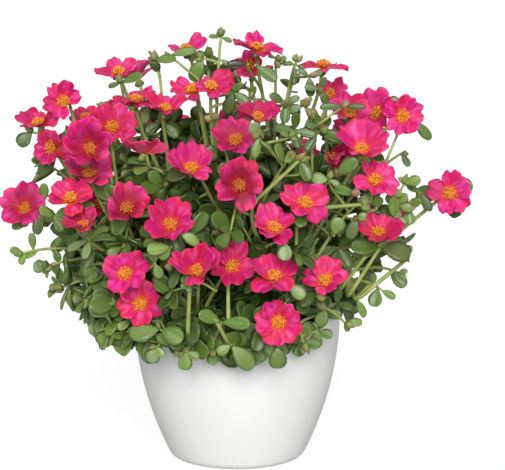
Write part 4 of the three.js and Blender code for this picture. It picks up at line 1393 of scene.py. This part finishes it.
@lru_cache(maxsize=None)
def stem_tree():
    """A round skin along each stem, as thick as the stem's own radius says."""
    g = Growth("stem_skin", Sides=("Int", 8), Thickness=("Float", 1.0))
    ring_line = g.first("GeometryNodeCurvePrimitiveCircle", {
        "Resolution": g.given["Sides"], "Radius": g.given["Thickness"]})
    return g.close(g.first("GeometryNodeCurveToMesh", {
        "Curve": g.given["Geometry"], "Profile Curve": ring_line, "Fill Caps": True,
        "Scale": g.first("GeometryNodeInputRadius")}))


@lru_cache(maxsize=None)
def stamen_tree():
    """Stamens on a disc by the golden angle, leaning out more towards its edge."""
    g = Growth("stamens", Stamen=("Object", None), Count=("Int", 40), Disc=("Float", 0.004),
               Lean=("Float", 0.7), Seed=("Int", 0))
    index = g.first("GeometryNodeInputIndex")
    share = g.maths("SQRT", g.maths("DIVIDE", g.maths("ADD", index, 0.5), g.given["Count"]))
    angle = g.maths("ADD", g.times(index, GOLDEN_ANGLE), g.random(-0.3, 0.3, g.given["Seed"]))
    reach = g.times(share, g.given["Disc"])
    spot = g.vector(g.times(reach, g.maths("COSINE", angle)), g.times(reach, g.maths("SINE", angle)))
    points = g.first("GeometryNodePoints", {"Count": g.given["Count"], "Position": spot})
    lean = g.times(g.times(share, g.given["Lean"]), g.random(0.75, 1.25, g.seed(1)))
    size = g.random(0.8, 1.15, g.seed(2))
    shape = g.add("GeometryNodeObjectInfo", {"Object": g.given["Stamen"]}).outputs["Geometry"]
    stood = g.stand(points, shape, g.vector(0.0, lean, angle), g.vector(size, size, size))
    return g.close(g.tinted(stood, g.seed(3)))


@lru_cache(maxsize=None)
def crumb_tree():
    """Crumbs strewn over the mix."""
    g = Growth("crumbs", Shapes=("Collection", None), Density=("Float", 26000.0), Seed=("Int", 5),
               Smallest=("Float", 0.0012), Largest=("Float", 0.0045))
    strewn = g.first("GeometryNodeDistributePointsOnFaces", {
        "Mesh": g.given["Geometry"], "Density": g.given["Density"], "Seed": g.given["Seed"]})
    spin = g.vector(*(g.random(0.0, 6.28, seed) for seed in (11, 12, 13)))
    size = g.random(g.given["Smallest"], g.given["Largest"], 14)
    stood = g.stand(strewn, g.shelf(), spin, g.vector(size, size, size), Pick_Instance=True)
    return g.close(g.tinted(stood, 15))


def shape_collection(name, shapes):
    """A collection out of sight with the shapes that a tree picks from, in order."""
    shelf = bpy.data.collections.new(name)
    for i, shape in enumerate(shapes):
        made = mesh_object(f"{name}_{i}", *shape)
        bpy.context.scene.collection.objects.unlink(made)
        shelf.objects.link(made)
    return shelf


def clear_shelf(shelf):
    for made in list(shelf.objects):
        bpy.data.objects.remove(made)
    bpy.data.collections.remove(shelf)


# ---- shapes that repeat


def leaf_shape(bend, fold, widest=0.62, twist=0.0):
    """A fleshy spoon-shaped leaf of length 1 along +Y with its upper face to +Z, and width 1 across X
    at its widest. Each ring has two edges, three points above and one below."""
    rings, uv, under = [], [(0.5, 0.0)], [0.5]
    for t in LEAF_STATIONS:
        if t < widest:
            swell = math.sin(math.pi / 2 * t / widest) ** 1.1
        else:
            swell = math.sqrt(1 - ((t - widest) / (1.01 - widest)) ** 2.2)
        half = 0.5 * max(swell, LEAF_FOOT)
        thick = LEAF_THICKNESS * (0.45 + 0.55 * min(half / 0.45, 1))
        turn = twist * t
        points = []
        for x, rise, below in LEAF_RING[::-1]:
            across = x * half
            lift = rise * thick + fold * abs(across) * 2
            points.append((across * math.cos(turn) - lift * math.sin(turn), t,
                           bend * t * t + across * math.sin(turn) + lift * math.cos(turn)))
            uv.append((0.5 + x / 2, t))
            under.append(below)
        rings.append(np.array(points))
    uv.append((0.5, 1.0))
    under.append(0.5)
    return *closed_tube((0, 0, 0), rings, (0, 1, bend)), uv, {"under": under}


def bud_shape(slim):
    """A pointed bud of length 1 along +Y, keeled down two sides."""
    rings, uv = [], [(0.5, 0.0)]
    for y, r in BUD_STATIONS:
        points = []
        for j in range(8):
            a = 2 * math.pi * j / 8
            keel = 1.0 + 0.22 * (j % 4 == 0)
            points.append((r * slim * keel * math.cos(a), y, -r * slim * math.sin(a) * 0.8))
            uv.append((j / 8, y))
        rings.append(np.array(points))
    uv.append((0.5, 1.0))
    return *closed_tube((0, 0, 0), rings, (0, 1, 0)), uv


def stamen_shape():
    """A filament with its anther, along +Z."""
    length, tip, thin, thick = FILAMENT
    rings, uv = [], [(0.5, 0.0)]
    for z, r in ((0.0003, thin), (length, thin), (length + 0.5 * tip, thick)):
        turns = np.linspace(2 * math.pi, 0, 5)[:-1]
        rings.append(np.array([(r * math.cos(a), -r * math.sin(a), z) for a in turns]))
        uv += [(0.5, z / (length + tip))] * 4
    uv.append((0.5, 1.0))
    return *closed_tube((0, 0, 0), rings, (0, 0, length + tip)), uv


def crumb_shape(seed):
    """A rough lump about 1 across."""
    rng = np.random.default_rng(seed)
    rings = []
    for v in (-0.55, 0.1, 0.6):
        r = math.sqrt(1 - v * v) * 0.5
        rings.append(np.array([(r * math.cos(a) * rng.uniform(*CRUMB_ROUGH),
                                r * math.sin(a) * rng.uniform(*CRUMB_ROUGH), v * 0.45) for a in circle(6)]))
    return closed_tube((0, 0, -0.5), rings, (0, 0, 0.45))


# ---- the pieces


def pot_profile():
    """Outer wall, rim and inner wall from the middle of the foot to the middle of the floor."""
    turn = math.radians(FOOT_TURN)
    corner_top = FOOT_ROUND * (1 - math.cos(turn))
    standing = wall_radius(corner_top) - FOOT_ROUND * math.sin(turn)
    foot = [(r, 0.0) for r in np.linspace(0, standing, 7)]
    corner = [(standing + FOOT_ROUND * math.sin(a), FOOT_ROUND * (1 - math.cos(a)))
              for a in np.linspace(0, turn, 9)[1:]]
    rounding = WALL / 2
    rim_foot = POT_HEIGHT - rounding
    outside = [(wall_radius(z), z) for z in np.linspace(corner_top, rim_foot, 40)[1:]]
    top = wall_radius(POT_HEIGHT) - rounding
    rim = [(top + rounding * math.cos(a), rim_foot + rounding * math.sin(a))
           for a in np.linspace(0, math.pi, 9)[1:-1]]
    inside = [(wall_radius(z) - WALL, z) for z in np.linspace(rim_foot, INSIDE_FOOT, 24)]
    edge = wall_radius(POT_FLOOR) - WALL
    floor = [*((edge - inset, z) for inset, z in FLOOR_CORNER), (0, POT_FLOOR)]
    return foot + corner + outside + rim + inside + floor


def make_pot():
    """The moulded pot, with its drain holes cut through the floor."""
    (_, low), *walls, (_, high) = pot_profile()
    rings = [ring(r, z, POT_SIDES) for r, z in walls]
    made = mesh_object("pot_shell", *closed_tube((0, 0, low), rings, (0, 0, high)))
    for i in range(DRAINS):
        spot = math.radians(360 / DRAINS * (i + 0.5))
        bpy.ops.mesh.primitive_cylinder_add(vertices=32, radius=DRAIN_RADIUS, depth=0.02, location=(
            DRAIN_CIRCLE * math.cos(spot), DRAIN_CIRCLE * math.sin(spot), 0.0))
        drill = bpy.context.object
        cut = made.modifiers.new("drain", "BOOLEAN")
        cut.object = drill
        cut.solver = "EXACT"
        mesh = evaluated_mesh(made)
        made.modifiers.clear()
        made.data = mesh
        bpy.data.objects.remove(drill)
    made.data.materials.clear()
    made.data.materials.append(pot_material())
    made.data.shade_smooth()
    made.data.set_sharp_from_angle(angle=math.radians(SHARP_EDGE))
    piece(made, "pot_plastic", "pot")


def make_soil():
    """The potting mix: an uneven plug with crumbs on its top."""
    rng = np.random.default_rng(7)
    inset = WALL + SOIL_CLEAR
    rings = [ring(wall_radius(z) - inset, z, SOIL_SIDES) for z in np.linspace(SOIL_FOOT, SOIL_TOP, 8)]
    edge = wall_radius(SOIL_TOP) - inset
    turns = circle(SOIL_SIDES)
    for share in np.linspace(0.97, 0.06, 14):
        wave = rng.normal(0, SOIL_WAVE, SOIL_SIDES)
        wave = (wave + np.roll(wave, 1) + np.roll(wave, -1)) / 2
        z = SOIL_TOP + SOIL_CROWN * (1 - share ** 2) + wave * (share < 0.95)
        rings.append(np.stack([edge * share * np.cos(turns), edge * share * np.sin(turns), z], axis=1))
    vertices, faces = closed_tube((0, 0, SOIL_UNDERSIDE), rings, (0, 0, SOIL_TOP + SOIL_CROWN))
    plug = mesh_object("mix_plug", vertices, faces, values={"tint": np.zeros(len(vertices))})
    plug.data.materials.append(soil_material())
    top = [f for f in faces if min(vertices[i][2] for i in f) > SOIL_TOP - MM]
    carrier = mesh_object("crumb_bed", vertices, top)
    shelf = shape_collection("crumb_shape", [crumb_shape(s) for s in range(4)])
    crumbs = run_growth("mix_crumbs", carrier, crumb_tree(), Shapes=shelf, Material=soil_material())
    clear_shelf(shelf)
    piece(plug, "potting_mix", "soil")
    piece(crumbs, "potting_mix")


def make_stems():
    """Every shoot's stems as one skin, drawn along curves that carry their own thickness."""
    for shoot in ALL_SHOOTS:
        curve = bpy.data.curves.new("stem_lines", "CURVE")
        curve.dimensions = "3D"
        for b in [b for b in all_branches() if b.shoot == shoot]:
            line = curve.splines.new("POLY")
            line.points.add(len(b.path) - 1)
            radius = b.thick + (b.thin - b.thick) * np.linspace(0, 1, len(b.path))
            if b.bloom:
                radius[-3:] = b.thin, b.thin * 1.25, b.thin * 2.0
            for point, place, r in zip(line.points, b.path, radius):
                point.co = (*place, 1)
                point.radius = r
        made = run_growth(f"stems_{shoot}", linked("stem_lines", curve), stem_tree(), Sides=8, Thickness=1.0,
                          Material=stem_material())
        piece(made, "greenery", f"shoot_{shoot}")


class Bed:
    """Places for repeated shapes: where each stands, how it is turned, its size, kind and colouring."""

    def __init__(self):
        self.rows = []
        self.middles = np.empty((0, 3))

    def crowded(self, middle):
        """True where another leaf's middle is too near. A middle that has room is kept."""
        if np.any(norm(self.middles - middle, axis=1) < LEAF_ROOM):
            return True
        self.middles = np.vstack([self.middles, middle])
        return False

    def add(self, shoot, base, along, face, length, width, kind, tint, warm=0.0):
        side = unit(np.cross(along, face))
        turn = turn_of(np.stack([side, along, np.cross(side, along)], axis=1)).to_euler("XYZ")
        self.rows.append((shoot, base, tuple(turn), (width, length, length), kind, tint, warm))

    def plant(self, prefix, shapes, material):
        shelf = shape_collection(f"{prefix}_shape", shapes)
        for shoot in ALL_SHOOTS:
            rows = [r for r in self.rows if r[0] == shoot]
            if not rows:
                continue
            _, bases, *numbers = zip(*rows)
            values = dict(zip(("turn", "size", "kind", "tint", "warm"), map(np.array, numbers)))
            values["kind"] = values["kind"].astype(np.int32)
            carrier = mesh_object("bed", bases, [], values=values)
            piece(run_growth(f"{prefix}_{shoot}", carrier, planting_tree(), Shapes=shelf, Size=1.0,
                             Material=material), "greenery")
        clear_shelf(shelf)


@dataclass
class Whorl:
    """Leaves round one place on a stem, leaning out from it by lean radians."""

    base: np.ndarray
    ahead: np.ndarray
    count: int
    lean: float
    length: float
    spread: float  # how far down the stem the leaves are strewn
    tint: float


def light_and_shade_at(place):
    """How much lighter or darker a leaf is painted for its place in the bush: painted shade in the middle
    band, in the middle and deep inside, and painted light on the left.
    """
    x, y, z = place
    light = np.interp(z, *LIGHT_BY_HEIGHT)
    light += np.interp(x, *LIGHT_LEFT) * np.interp(z, *LEFT_HEIGHTS)
    light += np.interp(abs(x), *SHADE_MIDDLE) * np.interp(z, *MIDDLE_HEIGHTS)
    return light + np.interp(math.hypot(x, y) / foliage_radius(z), *SHADE_INSIDE)


def plant_whorl(bed, shoot, w, blooms, rng):
    start = rng.random() * 2 * math.pi
    low = np.interp(w.base[2], *LOW_LEAVES)
    outward = unit([w.base[0], w.base[1], 0.0])
    ahead = unit(w.ahead * (1 - LOW_TURNED * low) + outward * low)
    side = unit(np.cross(ahead, UP) if abs(ahead @ UP) < 0.95 else np.cross(ahead, [1.0, 0, 0]))
    for i in range(w.count):
        out = turned_about(side, ahead, start + i * 2 * math.pi / w.count + rng.normal(0, SWAY))
        lean = w.lean + rng.normal(0, LEAN_SWAY)
        along = unit(out * math.sin(lean) + ahead * math.cos(lean) + UP * 0.08)
        face = ahead * math.sin(lean) - out * math.cos(lean) + UP * 0.3
        face = unit(face + rng.normal(0, FACE_SWAY, 3))
        size = w.length * rng.uniform(*LEAF_SIZES) * (1 + LOW_LONGER * low)
        foot = w.base - w.ahead * w.spread * (i / max(w.count - 1, 1))
        width = size * settings().leaf_width * rng.uniform(*LEAF_WIDTHS) * (1 + LOW_BROADER * low)
        tint = float(np.clip(w.tint + light_and_shade_at(w.base) + rng.normal(0, TINT_SWAY), 0, 1))
        warm = float(rng.random() ** np.interp(w.base[0], *SELDOM_WARM) * (1 - LOW_GREENER * low))
        kind = int(rng.integers(0, 5))
        reach = along * size
        end = foot + reach
        if not all(clear_of_pot(foot + reach * s, POT_ROOM["leaf"]) for s in AT_POT):
            continue
        if not all(clear_of_blooms(foot + reach * s, blooms, "leaf") for s in AT_BLOOMS):
            continue
        if not all(hides_nothing(foot + reach * s) for s in AT_SIGHT):
            continue
        if end[1] < 0 and end[2] < np.interp(end[0], *RIM_SHOWN):
            continue
        if not bed.crowded(foot + reach * LEAF_MIDDLE):
            bed.add(shoot, foot, along, face, size, width, kind, tint, warm)


def whorls_of(b, rng):
    """The whorls of one branch: under its bloom or at its tip, and along the way."""
    full = settings().leaf_length
    path = b.path
    ahead = np.gradient(path, axis=0)
    ahead /= norm(ahead, axis=1)[:, None]
    # shoots deeper in the bush get darker leaves: painted shade
    tint = 0.60 - 0.9 * b.depth
    top = np.interp(path[-1][2], *TOP_LEAVES)
    if b.kind == "fork":
        yield Whorl(path[-3], b.bloom.look, round(rng.integers(4, 7) - 2 * top), 1.6, full * (1 - 0.2 * top),
                    0.004, tint - 0.12 * top)
        for i in range(6, len(path) - 4, 3):
            few = np.interp(path[i][2], *FEW_ON_FORKS) * (0.2 if path[i][0] > 0.085 else 1.0)
            count = int(rng.integers(0, 3) * (rng.random() < few))
            yield Whorl(path[i], ahead[i], count, 0.95, full * 0.9, 0.0, tint - 0.15)
    elif b.kind == "sprig":
        yield Whorl(path[-1], ahead[-1], 4, 0.65, full * (0.6 - 0.15 * top), 0.0, tint + 0.2)
        yield Whorl(path[-2], ahead[-2], round(5 - 2 * top), 1.2, full * (1 - 0.35 * top), 0.003, tint)
        for i in range(7, len(path) - 3, 2):
            few = np.interp(path[i][2], *FEW_ON_SPRIGS)
            count = int(rng.integers(1, 3) * (rng.random() < few))
            yield Whorl(path[i], ahead[i], count, 1.0, full * 0.95, 0.0, tint - 0.1)
    elif b.kind == "side":
        yield Whorl(path[-1], ahead[-1], 2, 0.65, full * 0.6, 0.0, tint + 0.2)
        yield Whorl(path[-2], ahead[-2], 4, 1.2, full, 0.004, tint)
        for i in (4, 6):
            yield Whorl(path[i], ahead[i], int(rng.integers(1, 3)), 1.0, full * 0.95, 0.0, tint - 0.1)


def make_leaves():
    """Whorls under the blooms and at the tips, and leaves along the stems between."""
    rng = np.random.default_rng(23)
    bed, blooms = Bed(), all_blooms()
    for b in all_branches():
        for w in whorls_of(b, rng):
            plant_whorl(bed, b.shoot, w, blooms, rng)
        for base, ahead, length, width, tint, warm in own_leaves(b):
            face = unit(TOWARDS_FRONT + UP * 0.35 + rng.normal(0, 0.12, 3))
            bed.add(b.shoot, base, ahead, face, length, length * width, int(rng.integers(0, 3)), tint, warm)
    bed.plant("leaves", [leaf_shape(*numbers) for numbers in LEAF_KINDS], leaf_material())


def make_buds():
    """Clusters of pointed buds on the tips that carry them, and the green calyx under each bloom."""
    rng = np.random.default_rng(31)
    bed = Bed()
    for b in all_branches():
        ahead = unit(b.path[-1] - b.path[-2])
        if b.bloom:
            axis = b.bloom.axis
            face = unit(np.cross(axis, [0.3, 0.2, 0.9]))
            bed.add(b.shoot, b.bloom.seat - axis * CALYX_DROP, axis, face, *CALYX_SIZE, 0, 0.2)
        for _ in range(b.buds):
            lean = turned_about(unit(np.cross(ahead, [0.3, 0.8, 0.5])), ahead, rng.random() * 2 * math.pi)
            along = unit(ahead + lean * rng.uniform(0.1, 0.6))
            length = rng.uniform(*BUD_LENGTH)
            face = unit(np.cross(along, lean) + 0.01)
            bed.add(b.shoot, b.path[-1] - ahead * MM + lean * 0.0008, along, face, length, length * 0.9,
                    int(rng.integers(0, 2)), float(rng.random()))
    bed.plant("buds", [bud_shape(0.9), bud_shape(0.7)], bud_material())


def petal_outline(q, rng):
    """How far a petal falls short of its length across its width q, from -1 to 1: rounded shoulders,
    a notch between two lobes, and a scalloped rim."""
    left, right = rng.uniform(0.25, 0.40, 2)
    shoulder = np.where(q < 0, left, right) * np.abs(q) ** rng.uniform(3.1, 4.3)
    notch = rng.uniform(0.02, 0.14) * np.exp(-((q - rng.normal(0, 0.15)) / 0.2) ** 2)
    scallop = 0.018 * np.cos(q * rng.uniform(6, 9) + rng.random() * 2 * math.pi)
    return shoulder + notch + scallop


def slope_at(t, base, rim):
    return np.radians(base + (rim - base) * t ** 0.8)


def petal(bloom, k, rng):
    """One petal as a thin closed shell in the bloom's own axes: it rises from the throat and flares,
    is a little hollow, has one edge over its neighbour, and its rim is ruffled. Returns vertices,
    faces, uv, under."""
    ruffle, habit = settings().petal_ruffle, bloom.habit
    t = np.linspace(0, 1, 60)
    whole = np.cos(slope_at(t, habit.base, habit.rim)).mean()
    turn = 360 / PETAL_COUNT * (k + rng.normal(0, PETAL_STRAY)) + habit.spin
    share = rng.uniform(*PETAL_SIZES)
    if bloom.name in PETALS:
        turn, share = PETALS[bloom.name][k]
        share = PETAL_SIZE_FROM + PETAL_SIZE_BY * share
    size = 1.02 * bloom.spread / max(whole, 0.5) * share
    rise = rng.normal(0, PETAL_RISE)
    slope = slope_at(t, habit.base + rise, habit.rim + rise + rng.normal(0, RIM_RISE))
    line_out = np.cumsum(np.cos(slope)) / len(t)
    line_up = np.cumsum(np.sin(slope)) / len(t)

    # across from -1 to 1 and along from the throat to the rim, then how far the sheet lifts off its line
    q = np.linspace(-1, 1, ACROSS + 1)[:, None] * np.ones(ALONG + 1)
    s = (0.05 + 0.95 * np.linspace(0, 1, ALONG + 1) ** 0.9)[None, :] * np.ones((ACROSS + 1, 1))
    along = s * (1 - petal_outline(q, rng) * s ** 1.5)
    width = (0.24 + 0.40 * habit.width) * rng.uniform(0.9, 1.12)
    aside = width * (0.2 + 0.8 * np.sin(np.pi / 2 * np.minimum(s / 0.78, 1))) * q
    wave = rng.random(3) * 2 * math.pi
    off = rng.uniform(-0.1, 0.75) * aside ** 2 + (0.08 + rng.normal(0, 0.04)) * q * s
    for height, power, pace, phase in zip((1, 0.4, 0.25), (3, 5, 6), (rng.uniform(3, 5.5), 7.5, 11), wave):
        off += ruffle * height * s ** power * np.sin(q * pace + phase)
    off -= 0.025 * np.exp(-(q / 0.15) ** 2) * s
    tilt = np.interp(along, t, slope)
    out = np.interp(along, t, line_out) - off * np.sin(tilt)
    up = np.interp(along, t, line_up) + off * np.cos(tilt)
    c, n = math.cos(math.radians(turn)), math.sin(math.radians(turn))
    top = size * np.stack([out * c - aside * n, out * n + aside * c, up], axis=-1).reshape(-1, 3)
    thick = PETAL_THICKNESS * (1.15 - 0.5 * s).reshape(-1, 1)
    faces = shell_faces(ACROSS, ALONG)
    uv = np.stack([(q.reshape(-1) + 1) / 2, s.reshape(-1)], axis=1)
    under = np.repeat([0.0, 1.0], len(top))
    return np.concatenate([top, top - UP * thick]), faces, np.concatenate([uv, uv]), under


@lru_cache(maxsize=None)
def shell_faces(across, along):
    """Outward faces of a closed shell from two sheets of points, the upper one first, in rows along."""
    row = along + 1
    n = (across + 1) * row
    faces = []
    for i in range(across):
        for j in range(along):
            a, b = i * row + j, (i + 1) * row + j
            faces.append((a, a + 1, b + 1, b))
            faces.append((n + a, n + b, n + b + 1, n + a + 1))
    rim = ([i * row for i in range(across)] + [across * row + j for j in range(along)]
           + [i * row + along for i in range(across, 0, -1)] + list(range(along, 0, -1)))
    return faces + [(a, b, n + b, n + a) for a, b in zip(rim, rim[1:] + rim[:1])]


def make_petals():
    """Five petals to each bloom. Each bloom of the frame is a piece of its own; the others are joined."""
    rng = np.random.default_rng(17)
    others = {name: [] for name in BACK_SHOOTS}
    for bloom in all_blooms():
        turn = axes_for(bloom.axis)
        vertices, faces, uv, under = zip(*(petal(bloom, k, rng) for k in range(PETAL_COUNT)))
        count = len(vertices[0])
        made = mesh_object(
            f"petals_{bloom.name}",
            np.concatenate([v @ turn.T + bloom.seat for v in vertices]),
            [tuple(i + count * k for i in f) for k, own in enumerate(faces) for f in own],
            np.concatenate(uv),
            {"under": np.concatenate(under), "tint": np.repeat(rng.random(PETAL_COUNT), count),
             "warm": np.full(PETAL_COUNT * count, bloom.habit.coral),
             "eye": np.full(PETAL_COUNT * count, bloom.habit.eye)},
        )
        made.data.materials.append(petal_material())
        if bloom.node:
            piece(made, "petals", bloom.node)
        else:
            others[bloom.shoot].append(made)
    for shoot, parts in others.items():
        piece(join(f"petals_{shoot}", parts), "petals")


def join(name, parts):
    """Plain mesh objects as one object of that name."""
    with bpy.context.temp_override(active_object=parts[0], object=parts[0], selected_objects=parts,
                                   selected_editable_objects=parts):
        bpy.ops.object.join()
    parts[0].name = parts[0].data.name = name
    return parts[0]


def brush(bloom, rng):
    """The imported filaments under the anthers: a low, rough dome."""
    radius = bloom.spread * BRUSH_SHARE
    rings = []
    for share, z in BRUSH_STATIONS:
        rings.append(np.array([(radius * share * rng.uniform(*BRUSH_ROUGH) * math.cos(a),
                                radius * share * rng.uniform(*BRUSH_ROUGH) * math.sin(a),
                                BRUSH_HEIGHT * z * rng.uniform(0.8, 1.1)) for a in circle(12)]))
    vertices, faces = closed_tube((0, 0, -MM), rings, (0, 0, BRUSH_HEIGHT * 0.75))
    made = mesh_object("brush", vertices, faces, np.tile((0.5, 0.62), (len(vertices), 1)),
                       {"tint": rng.uniform(0.2, 0.9, len(vertices))})
    made.data.materials.append(anther_material())
    return made


def make_stamens():
    """A tuft of stamens in each bloom, one piece to a shoot."""
    pattern = mesh_object("stamen_shape", *stamen_shape())
    rng = np.random.default_rng(19)
    for shoot, blooms in blooms_by_shoot().items():
        tufts = []
        for i, bloom in enumerate(blooms):
            seat = mesh_object("tuft_seat", [(0, 0, 0)], [])
            tuft = run_growth("tuft", seat, stamen_tree(), Stamen=pattern, Count=settings().stamen_count,
                              Disc=bloom.spread * TUFT_SHARE, Lean=TUFT_LEAN, Seed=17 * i + len(shoot),
                              Material=anther_material())
            turn = turn_of(axes_for(bloom.axis)).to_4x4()
            for made in (tuft, brush(bloom, rng)):
                made.data.transform(Matrix.Translation(bloom.seat + bloom.axis * 0.0008) @ turn)
                shine = made.data.attributes.new("eye", "FLOAT", "POINT")
                shine.data.foreach_set("value", np.full(len(made.data.vertices), bloom.habit.eye, np.float32))
                tufts.append(made)
        piece(join(f"stamens_{shoot}", tufts), "petals")
    bpy.data.objects.remove(pattern)


def make_stage():
    """A pale lit floor that runs to the horizon, soft studio light and the camera."""
    scene = bpy.context.scene
    half = FLOOR_HALF
    floor = mesh_object("floor", [(-half, -half, 0), (half, -half, 0), (half, half, 0), (-half, half, 0)],
                        [(0, 1, 2, 3)], smooth=False)
    s = Shader("floor_light_table", {
        "Roughness": 0.9, "Specular IOR Level": 0.1, "Emission Color": (1, 1, 1)})
    glow = s.first("ShaderNodeLightPath")
    s.put(s.span(glow, 0.0, 1.0, *FLOOR_GLOW), s.shader.inputs["Emission Strength"])
    grey = s.mix(s.span(s.noise(8, 2), 0.4, 0.6), (0.30, 0.30, 0.30), (0.31, 0.31, 0.31))
    s.put(grey, s.shader.inputs["Base Color"])
    floor.data.materials.append(s.material)

    scene.world = bpy.data.worlds.new("studio")
    scene.world.use_nodes = True
    sky = Nodes(scene.world.node_tree)
    mixed = sky.add("ShaderNodeMix", data_type="RGBA")
    for value, socket in ((sky.first("ShaderNodeLightPath"), 0), (AMBIENT, 6), (BACKDROP, 7)):
        sky.put(value, mixed.inputs[socket])
    sky.put(mixed.outputs[2], sky.tree.nodes["Background"].inputs["Color"])

    for name, turn, tilt, power, spread in LAMPS:
        lamp = bpy.data.lights.new(name, "SUN")
        lamp.energy = power
        lamp.angle = math.radians(spread)
        linked(name, lamp).rotation_euler = turn_of(axes_for(facing(turn, tilt))).to_euler()

    back = facing(0, CAMERA_TILT)
    lens = bpy.data.cameras.new("camera")
    lens.sensor_width = 36
    lens.lens = lens.sensor_width * CAMERA_DISTANCE / (FRAME_WIDTH * PIXEL)
    lens.clip_end = 100
    camera = linked("camera", lens)
    camera.location = np.array(CAMERA_TARGET) + back * CAMERA_DISTANCE
    camera.rotation_euler = turn_of(axes_for(back)).to_euler()
    scene.camera = camera
    scene.view_settings.view_transform = "Standard"


# ---- operators and panel


class PORTULACA_OT_stage(bpy.types.Operator):
    """Adds the floor, the lights and the camera"""

    bl_idname = "portulaca.stage"
    bl_label = "Stage"

    def execute(self, context):
        make_stage()
        return {"FINISHED"}


class PORTULACA_OT_pot(bpy.types.Operator):
    """Turns the moulded pot"""

    bl_idname = "portulaca.pot"
    bl_label = "Pot"

    def execute(self, context):
        make_pot()
        return {"FINISHED"}


class PORTULACA_OT_soil(bpy.types.Operator):
    """Fills the pot with crumbly mix"""

    bl_idname = "portulaca.soil"
    bl_label = "Potting mix"

    def execute(self, context):
        make_soil()
        return {"FINISHED"}


class PORTULACA_OT_stems(bpy.types.Operator):
    """Draws the stems of every shoot"""

    bl_idname = "portulaca.stems"
    bl_label = "Stems"

    def execute(self, context):
        make_stems()
        return {"FINISHED"}


class PORTULACA_OT_leaves(bpy.types.Operator):
    """Plants the leaves on the stems"""

    bl_idname = "portulaca.leaves"
    bl_label = "Leaves"

    def execute(self, context):
        make_leaves()
        return {"FINISHED"}


class PORTULACA_OT_buds(bpy.types.Operator):
    """Plants the buds on the tips, and a calyx under each bloom"""

    bl_idname = "portulaca.buds"
    bl_label = "Buds"

    def execute(self, context):
        make_buds()
        return {"FINISHED"}


class PORTULACA_OT_petals(bpy.types.Operator):
    """Opens the petals of every bloom"""

    bl_idname = "portulaca.petals"
    bl_label = "Petals"

    def execute(self, context):
        make_petals()
        return {"FINISHED"}


class PORTULACA_OT_stamens(bpy.types.Operator):
    """Fills each bloom with stamens"""

    bl_idname = "portulaca.stamens"
    bl_label = "Stamens"

    def execute(self, context):
        make_stamens()
        return {"FINISHED"}


OPERATORS = [
    PORTULACA_OT_stage, PORTULACA_OT_pot, PORTULACA_OT_soil, PORTULACA_OT_stems, PORTULACA_OT_leaves,
    PORTULACA_OT_buds, PORTULACA_OT_petals, PORTULACA_OT_stamens,
]


class PORTULACA_PT_panel(bpy.types.Panel):
    """The plant's settings and pieces"""

    bl_idname = "PORTULACA_PT_panel"
    bl_label = "Potted Portulaca"
    bl_space_type = "VIEW_3D"
    bl_region_type = "UI"
    bl_category = "Portulaca"

    def draw(self, context):
        for key in PlantSettings.__annotations__:
            self.layout.prop(context.scene.portulaca, key)
        for each in OPERATORS:
            self.layout.operator(each.bl_idname)


CLASSES = [PlantSettings, *OPERATORS, PORTULACA_PT_panel]


def register():
    for each in CLASSES:
        bpy.utils.register_class(each)
    bpy.types.Scene.portulaca = PointerProperty(type=PlantSettings)


def unregister():
    del bpy.types.Scene.portulaca
    for each in reversed(CLASSES):
        bpy.utils.unregister_class(each)


def main():
    register()
    for each in OPERATORS:
        getattr(bpy.ops.portulaca, each.bl_idname.split(".")[1])()
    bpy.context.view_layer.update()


if __name__ == "__main__":
    main()
